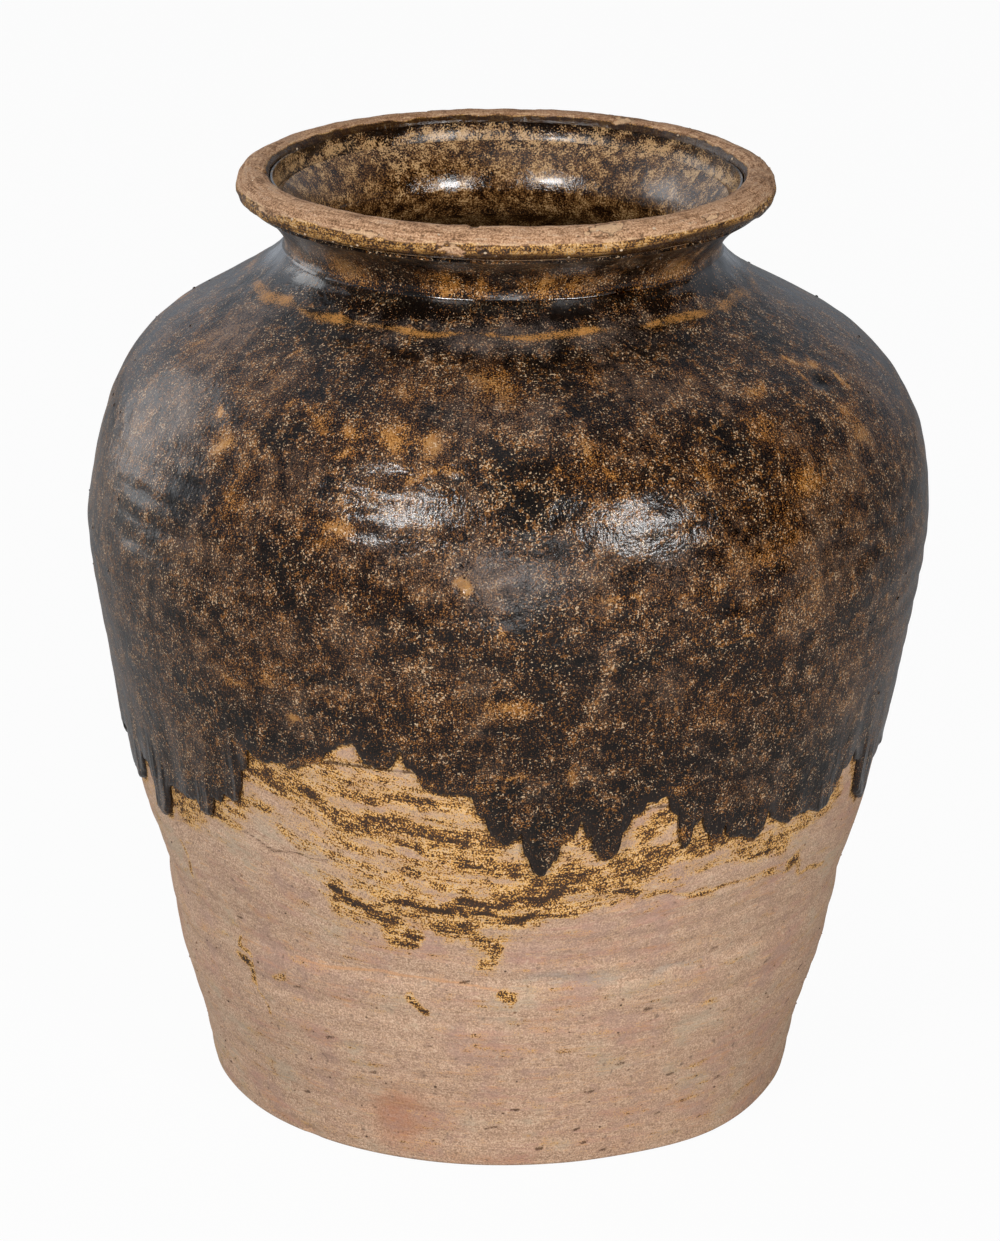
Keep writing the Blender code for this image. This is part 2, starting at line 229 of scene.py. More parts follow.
# Short dark pits, where the wheel dragged grit out of the clay: degrees, height. More are made
# up on the back.
DRAG_PITS = (
    (14.2, 13.8), (16.5, 29.2), (21.3, 40.9), (30.5, 15.8), (31.9, 31.2), (40.6, 10), (20.2, 3.6),
    (16.1, 7.7), (7.5, 7.9), (43.3, 23.4), (63.4, 39.5), (64.8, 52.3), (36.5, 80.7), (-38.6, 18.3),
    (-22.8, 34.9), (-35.7, 63.6), (-5.7, 76.6), (-46.5, 84.9), (25, 62), (-12, 50), (50, 66),
    (3, 24), (-30, 47),
)
BACK_PITS = 44

# Fine orange lines, where a sponge dragged grit along the clay, in the same form as the strokes
SPONGE_LINES = (
    (0.8, 0.9, (
        (-34.9, 75.9), (-26.8, 76.7), (-19.7, 77.7), (-12.9, 77.4), (-6.5, 76.2), (-0.2, 74.3),
    )),
    (0.8, 0.6, ((-40.4, 65.2), (-33.8, 68.5), (-28, 69.2), (-16, 68))),
    (0.8, 0.6, ((6.2, 84), (16.1, 86.5), (26.6, 87), (40, 84))),
    (0.8, 0.5, ((-60, 92), (-50, 88), (-41, 88))),
    (0.8, 0.7, ((110, 88), (135, 92), (158, 90))),
    (0.8, 0.7, ((-165, 70), (-140, 74), (-118, 73))),
)

# Places where the bare clay took colour in the fire, red-brown and smoky grey: degrees, height,
# half width, half height, strength
FLASHES = (
    (-19.5, 17, 16, 15, 0.8), (-10, 30, 26, 16, 0.25), (28, 6, 30, 6, 0.35), (-2, 3, 26, 4, 0.45),
    (-42, 42, 18, 9, 0.3), (12, 58, 30, 12, 0.28), (100, 30, 30, 18, 0.5), (165, 60, 40, 20, 0.5),
    (-120, 22, 34, 14, 0.55), (52, 70, 9, 18, 0.35),
)
SMOKES = (
    (12, 78, 30, 4.6, 0.8), (30, 76, 16, 3.2, 0.7), (-12, 75, 10, 2.6, 0.55),
    (-55, 30, 12, 22, 0.35), (38, 28, 26, 9, 0.5), (24, 94, 24, 5, 0.4), (-32, 56, 20, 7, 0.4),
    (-62, 84, 12, 14, 0.45), (130, 40, 30, 14, 0.5), (-150, 84, 40, 8, 0.6), (60, 40, 12, 24, 0.35),
)

# How far the glaze broke from black to brown at each height. All of it is a little blacker than
# that, and its patches are stronger than listed.
BREAK_LINE = (
    (104, 0.17), (125, 0.19), (140, 0.24), (152, 0.28), (166, 0.31), (178, 0.35), (188, 0.36),
    (198, 0.33), (208, 0.33), (222, 0.34), (238, 0.355), (254, 0.38), (266, 0.38), (275, 0.35),
    (282, 0.28), (286, 0.2), (289, 0.13), (291.5, 0.1), (298, 0.08), (300.5, 0.16), (303, 0.42),
    (308, 0.44), (312, 0.33), (315, 0.12), (317, 0.02),
)
BLACKER = 0.062
PATCH_STRENGTH = 1.4

# Places where it pooled black (below 0) or broke to orange (above 0): degrees, height, half
# width, half height, amount. More are made up on the back.
GLAZE_PATCHES = (
    (-45, 256, 4.2, 4.6, 0.5), (-40, 240, 4.9, 10, 0.26), (-48, 266, 1.8, 1.4, 0.6),
    (-67, 276, 3.2, 1.4, 0.24), (-42, 282, 2.2, 1.4, 0.4), (-43, 276, 4, 1.6, 0.3),
    (-36, 272, 4, 1.3, 0.36), (-31, 270, 5, 1.2, 0.36), (-29, 268, 4.2, 1.6, 0.38),
    (-23, 267, 3.2, 2.4, 0.42), (-24, 262, 5.4, 1.6, 0.4), (-17, 267, 5.2, 4, 0.5),
    (-11, 266, 6.2, 2.8, 0.48), (-10, 259, 13, 1.9, 0.34), (-8, 257.4, 4.5, 1, -1.1),
    (-23, 240, 9, 3, 0.3), (-3, 281, 6.4, 3.6, 0.2), (-16, 278, 6, 3.6, 0.2),
    (-35, 263, 8, 3.8, -0.26), (-50, 236, 6.5, 3.4, -0.28), (-10, 273, 9.1, 2.5, -0.26),
    (1, 280, 7.3, 5, 0.2), (16, 281, 3.6, 3, 0.3), (34, 278, 6.4, 6, 0.22),
    (44.5, 273.6, 5.8, 1.9, 0.36), (41, 265, 7.2, 6, 0.24), (28, 256, 4.2, 5.8, 0.24),
    (44, 248, 8.6, 4.8, 0.3), (12, 265, 2.9, 5, 0.26), (7, 261.6, 1.6, 1.6, 0.5),
    (14, 258, 1.4, 1.4, 0.34), (33, 267, 5.4, 7.2, -0.28), (39.5, 236, 6.4, 9.6, 0.24),
    (34, 227, 16, 4.4, 0.17), (13.5, 220, 8.8, 1, 0.3), (-0.6, 210, 1.9, 2.8, 0.36),
    (1, 184, 8.6, 3.4, 0.28), (29, 177, 11, 5.6, 0.12), (8.6, 157.8, 2.4, 3.6, 0.42),
    (59.5, 270.4, 3.6, 1.5, -0.45), (58, 274.8, 3.2, 0.9, 0.6), (61.5, 273.4, 3, 0.9, 0.6),
    (64.6, 270, 2, 1.8, 0.6), (65.3, 266, 1.6, 2.2, 0.5), (56.6, 272, 1.4, 1.6, 0.45),
    (59, 262, 6, 3.4, 0.28), (59.5, 255, 5, 4.5, 0.24), (50, 262, 4, 5, -0.2),
    (-26, 189, 12, 1.3, -0.5), (-28, 177, 15.7, 1.3, -0.45), (-19, 189, 4.5, 2.4, -0.4),
    (-38, 181, 8, 2.2, 0.28), (-33, 186, 4, 3, 0.26), (-25, 237, 6.2, 5.2, 0.14),
    (-29, 173, 3.6, 1.6, 0.6), (30, 198.8, 6.4, 1.2, -1.1), (31, 201.6, 8, 0.9, 0.4),
    (7.3, 200.6, 8.4, 2.8, -0.34), (0.5, 159.2, 8.6, 0.8, 0.5), (1.8, 152.9, 7.2, 1.4, -0.9),
    (6.8, 139.4, 6, 1.5, -0.8), (16, 198, 10.2, 2.7, -0.24), (-5.9, 225.6, 2.6, 3.4, 1.1),
    (2, 223, 7, 6, -0.14), (-5, 205, 22, 4, 0.08), (-54, 208, 12, 16, -0.1),
    (-48, 194, 15, 24, -0.08), (-49, 238, 12, 17, -0.13), (9, 272, 18, 9, -0.09),
    (-29, 162, 10, 4, -0.12), (-30, 208, 12, 5, 0.08), (24, 149.5, 8, 1.8, 0.36),
    (-4, 154, 6, 2.4, 0.24), (-48, 170, 6, 7, -0.2), (30, 160, 12, 8, -0.14),
    (44, 150, 12, 8, -0.14), (-14, 172, 10, 4, 0.12), (52, 190, 8, 16, 0.06),
    (-64, 281, 11, 8, 0.25), (28, 248, 5, 4, -0.1), (3, 246, 10, 7, -0.16), (18, 238, 8, 6, -0.12),
    (52, 232, 8, 10, 0.1), (-60, 250, 8, 14, 0.08), (-14, 215, 6, 3, -0.14),
    (-14, 308, 4.5, 7, 0.27), (-5.7, 308, 3.5, 7, 0.26), (9.5, 308, 4, 7, 0.26),
    (18.6, 308, 5.5, 7, 0.27), (50, 308, 8, 7, 0.25), (-27, 308, 7, 7, -0.2),
    (1.6, 308, 4, 7, -0.18), (32, 308, 10, 7, -0.22), (-45, 308, 9, 6, 0.15),
    (-60, 308, 8, 6, -0.15), (100, 308, 20, 7, 0.15), (150, 308, 14, 7, -0.15),
    (30, 262, 30, 16, -0.1), (0, 256, 18, 12, -0.09), (-28, 225, 16, 12, -0.05),
    (12, 150, 24, 8, -0.04), (20, 212, 12, 2.2, -0.16), (-40, 196, 10, 2, -0.2),
    (-2, 176, 14, 1.6, -0.22), (14, 168, 12, 1.8, -0.2),
)
BACK_PATCHES = 90

# Painted sheen: grey patches that stand for a reflection of broad soft light on the glaze:
# degrees, height, half width, half height, strength
PAINTED_SHEEN_PATCHES = (
    (1, 228, 26, 15, 0.8), (-18, 236, 12, 8, 0.4), (22, 232, 12, 8, 0.4), (-56, 262, 14, 14, 0.5),
    (-47, 240, 12, 14, 0.4), (0, 272, 34, 9, 0.35), (0, 291, 60, 5, 0.7), (-30, 160, 14, 8, 0.3),
    (-62, 281, 14, 9, 0.7), (14, 205, 20, 6, 0.3), (150, 230, 40, 20, 0.5),
    (-130, 250, 30, 16, 0.5),
)

# The ridge under the neck, where the coat ran thin: degrees, strength, half width
RIDGE_BREAKS = (
    (-180, 0.5, 1.2), (-150, 0.75, 1), (-120, 0.45, 1.4), (-95, 0.5, 1.4), (-82, 0.3, 1.2),
    (-75, 0.85, 1.6), (-66, 0.95, 2.3), (-57, 0.9, 2.2), (-53, 0.5, 1), (-47, 0.75, 1.2),
    (-42, 0.95, 2), (-38, 0.95, 1.9), (-35, 0.6, 0.9), (-28, 0.75, 0.9), (-22, 0.9, 1.2),
    (-13, 0.95, 1.2), (-8, 0.6, 0.7), (-1, 0.75, 0.9), (6, 0.85, 1.3), (13, 0.9, 1.6),
    (20, 0.95, 1.5), (24, 0.5, 0.8), (30, 0.45, 0.7), (34, 0.8, 1.3), (43, 0.9, 1.6),
    (50, 0.95, 1.8), (54, 0.45, 0.8), (58, 0.7, 1.9), (67, 0.7, 2), (78, 0.5, 1.6), (95, 0.7, 1.2),
    (120, 0.9, 1.4), (150, 0.4, 1), (180, 0.5, 1.2),
)

# Scars in the wall: degrees, height, half width, half height, depth
WALL_SCARS = (
    (59, 270, 7.5, 2.2, 1.1), (-6, 225, 2.6, 2, 0.9), (31, 200, 5, 1, 0.7),
    (-8, 257.4, 4, 0.9, 0.6), (5, 158, 6.5, 1.2, 0.5), (-26, 189, 11, 1.4, 0.4),
    (-28, 177, 14, 1.3, 0.4), (-39, 1.5, 5.5, 3.5, 1.6), (20, 12, 2.2, 1, 0.5),
    (128, 216, 9, 4, 0.9), (-140, 245, 7, 3, 0.8), (172, 158, 12, 2, 0.6),
)

# Scars in the rim: degrees, share of the way from the lip over the top to the mouth, half
# width, half share, depth
RIM_SCARS = (
    (-10.3, 0.36, 4.8, 0.14, 0.8), (-7.2, 0.84, 3, 0.10, 0.9), (-84, 0.9, 3.4, 0.12, 1.1),
    (22, 0.72, 5.4, 0.12, 0.6), (-30, 0.52, 7, 0.05, 0.35), (48, 0.6, 5, 0.06, 0.35),
    (-62, 0.44, 6, 0.07, 0.4), (95, 0.5, 8, 0.08, 0.5), (150, 0.85, 4, 0.1, 0.6),
    (-135, 0.3, 6, 0.09, 0.5), (-160, 0.7, 5, 0.08, 0.4), (8, 0.93, 3, 0.08, 0.4),
)

# Throwing rings: how far apart, how deep, and how far each climbs in one turn
RING_PITCH = 8.6
RING_DEPTH = 0.34
RING_CLIMB = 5.0

# Soft dents, as sets of swells: a seed, the most waves round the pot, the shortest up it, depth
WALL_DENTS = ((5, 9, 45, 0.55), (6, 34, 16, 0.22))
COAT_DENTS = ((36, 12, 30, 0.3), (37, 50, 9, 0.2))
RIM_DENTS = ((52, 14, 30, 0.35), (53, 46, 8, 0.3), (54, 130, 3, 0.12))
LINING_DENTS = ((61, 14, 30, 0.25),)

# The photograph's camera: lens, place in metres, and degrees that it tilts down and leans
CAMERA_LENS = 127.8
CAMERA_PLACE = (-0.0012, -1.4759, 0.6822)
CAMERA_DOWN = 19.37
CAMERA_LEAN = 0.5


def smooth_line(stations, at):
    """Values of a smooth line through stations, each a place and a value."""
    place, value = np.array(stations, float).T
    step = np.diff(value) / np.diff(place)
    inner = (value[2:] - value[:-2]) / (place[2:] - place[:-2])
    slope = np.concatenate(([step[0]], inner, [step[-1]]))
    at = np.clip(at, place[0], place[-1])
    i = np.clip(np.searchsorted(place, at, side="right") - 1, 0, len(place) - 2)
    span = place[i + 1] - place[i]
    u = (at - place[i]) / span
    return (
        value[i] * (1 + 2 * u) * (1 - u) ** 2
        + value[i + 1] * u * u * (3 - 2 * u)
        + span * (slope[i] * u * (1 - u) ** 2 - slope[i + 1] * u * u * (1 - u))
    )


def hump(distance, reach):
    """A rounded hump, 1 where the distance is 0 and 0 from the reach on."""
    return (1 + np.cos(np.pi * np.clip(np.abs(distance) / reach, 0, 1))) / 2


def rise(value, low, high):
    """0 up to low, 1 from high on, and smooth between them."""
    share = np.clip((value - low) / (high - low), 0, 1)
    return share * share * (3 - 2 * share)


def swell(height, turn, seed, most_round, shortest):
    """A random smooth swell of about -1 to 1 that closes round the pot: waves that go up to
    most_round times round it, and are no shorter than shortest up it."""
    random = np.random.default_rng(seed)
    total = np.zeros(np.broadcast(height, turn).shape)
    for _ in range(SWELL_WAVES):
        times = random.integers(-most_round, most_round + 1)
        steep = random.uniform(-1, 1) * 2 * math.pi / shortest
        total += np.cos(times * turn + steep * height + random.uniform(0, 2 * math.pi))
    return total / math.sqrt(SWELL_WAVES)


def dents(height, turn, sets):
    """How deep the soft dents of some sets of swells are, at each place."""
    return sum(
        deep * rise(swell(height, turn, seed, most_round, shortest), -1.5, 1.5)
        for seed, most_round, shortest, deep in sets
    )


def outer_radius(height):
    """Radius of the clay's outer face at a height."""
    ridge_level, ridge_radius = BODY_LINE[-1]
    body = smooth_line(BODY_LINE, height)
    down = (height - ridge_level) / (THROAT_LEVEL - ridge_level)
    saddle = ridge_radius + (THROAT_RADIUS - ridge_radius) * down
    up = (height - THROAT_LEVEL) / (LIP - THROAT_LEVEL)
    flare = THROAT_RADIUS + (LIP_RADIUS - THROAT_RADIUS) * up ** 2
    radius = np.where(height <= ridge_level, body, np.where(height <= THROAT_LEVEL, saddle, flare))
    radius = radius + SEAM_RIDGE * hump(height - LOW_SEAM, SEAM_REACH)
    return radius + RIDGE_HEIGHT * hump(height - ridge_level, RIDGE_REACH)


def below_outline(height, depth):
    """Radius and height of the places at a depth under the outline, square to it."""
    reach = 0.2
    slope = (outer_radius(height + reach) - outer_radius(height - reach)) / (2 * reach)
    length = np.hypot(1, slope)
    return outer_radius(height) - depth / length, height + depth * slope / length


def apart(turn, degrees):
    """Signed angle from a direction round the pot."""
    return (turn - math.radians(degrees) + math.pi) % (2 * math.pi) - math.pi


def on_pot(radius, height, turn):
    """Places in the frame, from radius, height and the angle to the right of the front."""
    height = np.broadcast_to(height, np.broadcast(radius, turn).shape)
    hollow = 0
    for degrees, level, depth in HAND_HOLLOWS:
        along = outer_radius(BELLY) * apart(turn, degrees)
        hollow = hollow + depth * hump(np.hypot(along, height - level), HAND_REACH)
    radius = radius - hollow * np.minimum(radius / THROAT_RADIUS, 1)
    drift = smooth_line(DRIFT_LINE, height)
    return np.stack((radius * np.sin(turn) + drift, -radius * np.cos(turn), height), axis=-1)


def wall_marks(height, turn):
    """How far throwing rings, dents and scars sink the clay's face below its outline."""
    wander = 1.6 * swell(height, turn, 3, 5, 60)
    climbed = height + RING_CLIMB * turn / (2 * math.pi)
    ring = np.cos(2 * math.pi * climbed / RING_PITCH + wander)
    strength = rise(swell(height, turn, 4, 4, 90), -1.2, 1.2) * (1 - rise(height, 250, 285))
    depth = RING_DEPTH * strength * (1 + ring) / 2
    fade = rise(height, 0, 30) * (1 - rise(height, 262, 288))
    depth = depth + dents(height, turn, WALL_DENTS) * fade
    for degrees, level, wide, high, deep in WALL_SCARS:
        away = np.hypot(outer_radius(level) * apart(turn, degrees) / wide, (height - level) / high)
        depth = depth + deep * hump(away, 1)
    return depth


def columns(count, front_share):
    """Angles round the pot from the back and round to it, closer together on the front half."""
    front = round(count * front_share)
    back = (count - front) // 2
    quarter = math.pi / 2
    return np.concatenate((
        np.linspace(-math.pi, -quarter, back, endpoint=False),
        np.linspace(-quarter, quarter, front, endpoint=False),
        np.linspace(quarter, math.pi, back, endpoint=False),
    ))


def travel(height):
    """Length of the outline from the foot up to a height."""
    levels = np.linspace(0, LIP, 1200)
    steps = np.hypot(np.diff(levels), np.diff(outer_radius(levels)))
    return np.interp(height, levels, np.concatenate(([0], np.cumsum(steps))))


def even_levels(low, high, count):
    """Heights from low to high that are evenly spaced along the curved wall."""
    levels = np.linspace(low, high, 800)
    return np.interp(np.linspace(travel(low), travel(high), count), travel(levels), levels)


def spaced_levels(low, high, step):
    """Heights from low to high that are about a step apart along the curved wall."""
    return even_levels(low, high, max(2, round((travel(high) - travel(low)) / step)))


def turned_piece(name, rings, marks, material, nodes, poles=None):
    """A closed mesh from rings of places. The last ring joins the first, unless poles give the
    two centres that close the piece. Marks are painted values, one or three for each place."""
    rows, across = rings.shape[:2]
    index = np.arange(rows * across).reshape(rows, across)
    low = index if poles is None else index[:-1]
    high = np.roll(index, -1, axis=0) if poles is None else index[1:]
    quads = np.stack((low, np.roll(low, -1, axis=1), np.roll(high, -1, axis=1), high), axis=-1)
    faces = quads.reshape(-1, 4).tolist()
    places = rings.reshape(-1, 3)
    if poles is not None:
        places = np.concatenate((places, np.array(poles, float)))
        first, last = index[0], index[-1]
        count = rows * across
        faces += [(count, b, a) for a, b in zip(first.tolist(), np.roll(first, -1).tolist())]
        faces += [(count + 1, a, b) for a, b in zip(last.tolist(), np.roll(last, -1).tolist())]
    mesh = bpy.data.meshes.new(name)
    mesh.from_pydata((places * MM).tolist(), [], faces)
    for mark, values in marks.items():
        wide = values.ndim == 3
        shape = (rows, across, 3) if wide else (rows, across)
        flat = np.broadcast_to(values, shape).reshape((-1, 3) if wide else -1)
        if poles is not None:
            flat = np.concatenate((flat, flat[:1], flat[-1:]))
        flat = np.ascontiguousarray(flat, np.float32).ravel()
        layer = mesh.attributes.new(mark, "FLOAT_VECTOR" if wide else "FLOAT", "POINT")
        layer.data.foreach_set("vector" if wide else "value", flat)
    mesh.shade_smooth()
    mesh.set_sharp_from_angle(angle=math.radians(SHARP_ANGLE))
    mesh.materials.append(material)
    piece = bpy.data.objects.new(name, mesh)
    bpy.context.scene.collection.objects.link(piece)
    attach(piece, "root")
    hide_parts(*nodes)
    return piece


def spots_at(height, turn, spots):
    """Sum of soft spots, each with degrees, height, half width, half height and amount."""
    bend_round = 1.5 * swell(height, turn, 21, 80, 9)
    bend_up = 1.2 * swell(height, turn, 22, 80, 9)
    total = np.zeros(np.broadcast(height, turn).shape)
    for degrees, level, wide, high, amount in spots:
        along = outer_radius(level) * apart(turn, degrees) + bend_round
        away = (along / wide) ** 2 + ((height - level + bend_up) / high) ** 2
        total += amount * np.exp(-1.3 * away)
    return total


def strokes_at(height, turn, strokes, bend):
    """Strongest of the strokes at each place. Bend is how far they wander."""
    reach = outer_radius(WASH_LEVEL)
    across = reach * apart(turn, 0) + bend * swell(height, turn, 23, 60, 12)
    up = height + bend * swell(height, turn, 24, 60, 12)
    best = np.zeros(np.broadcast(height, turn).shape)
    for wide, strength, path in strokes:
        for (a, low), (b, high) in zip(path, path[1:]):
            start = reach * math.radians(a)
            length = np.array((reach * math.radians(b) - start, high - low))
            share = ((across - start) * length[0] + (up - low) * length[1]) / (length @ length)
            share = np.clip(share, 0, 1)
            away = np.hypot(across - start - share * length[0], up - low - share * length[1])
            best = np.maximum(best, strength * hump(away, 1.7 * wide))
    return best


def hem_at(turn):
    """Height of the glaze's ragged lower edge. Its runs end in broad round tips, and the clay
    between two runs in a point."""
    degrees = np.degrees(turn)
    place, value = np.array(HEM_LINE, float).T
    i = np.clip(np.searchsorted(place, degrees, side="right") - 1, 0, len(place) - 2)
    share = (degrees - place[i]) / (place[i + 1] - place[i])
    climb = value[i + 1] - value[i]
    share = np.where(climb >= 0, share, 1 - share)
    fine = 0.4 * swell(0, turn, 31, 520, 1) + 0.5 * swell(0, turn, 32, 200, 1)
    fine = fine + 0.7 * swell(0, turn, 38, 90, 1)
    return np.minimum(value[i], value[i + 1]) + np.abs(climb) * share ** TIP_ROUND + fine


def from_hem(height, turn):
    """Distance of each place from the hem."""
    hem = hem_at(turn)
    reach = outer_radius(HEM_LEVEL)
    nearest = np.full(np.broadcast(height, turn).shape, FAR)
    for shift in range(-16, 17):
        across = reach * apart(np.roll(turn, shift, axis=1) - turn, 0)
        nearest = np.minimum(nearest, np.hypot(across, np.roll(hem, shift, axis=1) - height))
    return nearest


def wash_edge_at(turn):
    """Height of the wash's lower edge."""
    return smooth_line(WASH_LINE, np.degrees(turn)) + 1.5 * swell(0, turn, 33, 40, 1)


def flow_of(height, turn):
    """Places on an unrolled pot, so that runs and streaks can follow the wall down."""
    reach = outer_radius(BELLY)
    shape = np.broadcast(height, turn).shape
    parts = (reach * np.sin(turn), -reach * np.cos(turn), travel(height))
    return MM * np.stack([np.broadcast_to(part, shape) for part in parts], axis=-1)


def drag_pits():
    """The pits in the clay as short strokes that follow the wheel."""
    random = np.random.default_rng(91)
    places = list(DRAG_PITS)
    for _ in range(BACK_PITS):
        places.append((random.uniform(70, 290), random.uniform(4, 100)))
    half_width = strength = 0.75
    return tuple(
        (half_width, strength, ((degrees - 0.65, height - 0.2), (degrees + 0.65, height + 0.3)))
        for degrees, height in places
    )


def clay_marks(height, turn):
    """What is painted on the bare clay: wash, scratches, sponge lines, flashes and smoke, which
    way the wheel swept it, and where grit sticks in it."""
    above = height - wash_edge_at(turn)
    film = rise(above, -1.5, 3.0) * (0.26 + 0.12 * swell(height, turn, 34, 12, 20))
    halo = 0.62 * hump(from_hem(height, turn), 3.4)
    strokes = strokes_at(height, turn, WASH_STROKES, 1.8)
    wash = np.clip(np.maximum(np.maximum(film, strokes), halo), 0, 1)
    sweep = flow_of(height, turn)
    climb = smooth_line(SWEEP_LINE, np.degrees(turn)) * rise(height, 70, 105)
    sweep[..., 2] = MM * (height - climb)
    return {
        "wash": wash,
        "scratch": strokes_at(height, turn, WASH_SCRATCHES + drag_pits(), 0.5),
        "sponged": strokes_at(height, turn, SPONGE_LINES, 0.5),
        "flash": np.clip(spots_at(height, turn, FLASHES), 0, 1),
        "smoke": np.clip(spots_at(height, turn, SMOKES), 0, 1),
        "sweep": sweep,
        "grit": rise(height, 2.5, 4) + 0 * turn,
    }


def glaze_patches():
    """The patches of the front, and more on the back in their manner."""
    random = np.random.default_rng(77)
    patches = list(GLAZE_PATCHES)
    for _ in range(BACK_PATCHES):
        degrees = random.uniform(80, 280)
        wide, high = random.uniform(2.5, 11), random.uniform(1.4, 5)
        amount = random.choice((0.42, 0.3, 0.26, -0.25, -0.4))
        patches.append((degrees, random.uniform(150, 284), wide, high, amount))
    return patches


def glaze_marks(height, turn, distance):
    """What is painted on the glaze: how far it broke to brown, how near its edge is, where it
    pooled or ran thin, where painted sheen stands for a reflection, which way it flowed, and where
    grit sticks in it."""
    patches = spots_at(height, turn, glaze_patches())
    level = smooth_line(BREAK_LINE, height) - BLACKER + PATCH_STRENGTH * patches
    level = level + 0.05 * swell(height, turn, 41, 14, 30)
    degrees = np.degrees(turn)
    strength = smooth_line([station[:2] for station in RIDGE_BREAKS], degrees)
    width = smooth_line([(station[0], station[2]) for station in RIDGE_BREAKS], degrees)
    ridge_level = BODY_LINE[-1][0]
    wave = 0.5 * swell(0, turn, 42, 24, 1)
    line = strength * rise(hump(height - ridge_level - 1.9 - wave, 1.35 * width), 0.1, 0.95)
    bare_edge = rise(swell(height, turn, 44, 30, 12), 0.2, 1.4) * hump(distance, 6)
    level = level + 0.45 * bare_edge
    return {
        "brown": np.clip(level, -0.4, 1.2),
        "edge": np.clip(distance + 4 * bare_edge, 0, 12) / 12,
        "pool": np.maximum(hump(height - THROAT_LEVEL + 2, 7), 0.4 * hump(distance, 12)),
        "thin": line,
        "painted_sheen": np.clip(spots_at(height, turn, PAINTED_SHEEN_PATCHES), 0, 1),
        "flow": flow_of(height, turn),
        "grit": rise(swell(height, turn, 43, 7, 60), -0.6, 1.2) * rise(height, 140, 165),
    }


def linear(code):
    """A colour's linear values from its sRGB hex code."""
    parts = [int(code[i:i + 2], 16) / 255 for i in (1, 3, 5)]
    return [c / 12.92 if c <= 0.04045 else ((c + 0.055) / 1.055) ** 2.4 for c in parts] + [1]


def add(tree, kind, links=None, stops=None, **settings):
    """Adds a node to a tree, with its settings, and fills or links its inputs. Stops are the
    places and the hex codes of a colour ramp."""
    node = tree.nodes.new(kind)
    for name, value in settings.items():
        setattr(node, name, value)
    for socket, value in (links or {}).items():
        if isinstance(value, bpy.types.NodeSocket):
            tree.links.new(value, node.inputs[socket])
        else:
            node.inputs[socket].default_value = value
    for number, (place, code) in enumerate(stops or ()):
        bands = node.color_ramp.elements
        glaze_band_and_shade = bands[number] if number < 2 else bands.new(place)
        glaze_band_and_shade.position = place
        glaze_band_and_shade.color = linear(code)
    return node


def per_mm(size):
    """Scale of a pattern whose features are a size in millimetres."""
    return 1 / (size * MM)


def new_material(name):
    """An empty material, with its tree and its surface shader."""
    material = bpy.data.materials.new(name)
    material.use_nodes = True
    tree = material.node_tree
    return material, tree, tree.nodes["Principled BSDF"]


def vary(tree, level, patterns):
    """A level, raised and lowered by patterns with their weights. A pattern's middle is 0.5."""
    total = -0.5 * sum(weight for _, weight in patterns)
    for pattern, weight in (*patterns, (level, 1.0)):
        total = add(
            tree, "ShaderNodeMath", {0: pattern, 1: weight, 2: total}, operation="MULTIPLY_ADD"
        ).outputs[0]
    return total


def paint(tree, base, coats):
    """Lays coats of colour over a base. Each coat begins where its pattern is at a low value,
    and from a high value on it covers as much as its strength says."""
    for pattern, low, high, strength, colour in coats:
        cover = add(tree, "ShaderNodeMapRange", {
            "Value": pattern, "From Min": low, "From Max": high, "To Max": strength,
        }, interpolation_type="SMOOTHSTEP").outputs["Result"]
        colour = linear(colour) if isinstance(colour, str) else colour
        base = add(
            tree, "ShaderNodeMix", {0: cover, 6: base, 7: colour}, data_type="RGBA"
        ).outputs[2]
    return base


def surface(tree, shader, colour, rough, relief, depth, strength):
    """Gives a material its colour, roughness and bumpy face, whose depth is in millimetres."""
    tree.links.new(colour, shader.inputs["Base Color"])
    tree.links.new(rough, shader.inputs["Roughness"])
    bump = add(tree, "ShaderNodeBump", {
        "Height": relief, "Strength": strength, "Distance": depth * MM,
    })
    tree.links.new(bump.outputs["Normal"], shader.inputs["Normal"])
    return bump.outputs["Normal"]


# In each material that follows, the sizes of its patterns are millimetres of the real pot, each
# with how much detail it has and how rough that is. The real glaze's and clay's finest specks are
# 0.1 to 0.3 mm and would not show at three pixels to a millimetre, so the finest grain is drawn
# coarser, at 0.48 to 0.6 mm. A coat of colour has a pattern, its low and high value, how much it
# covers and its colour.


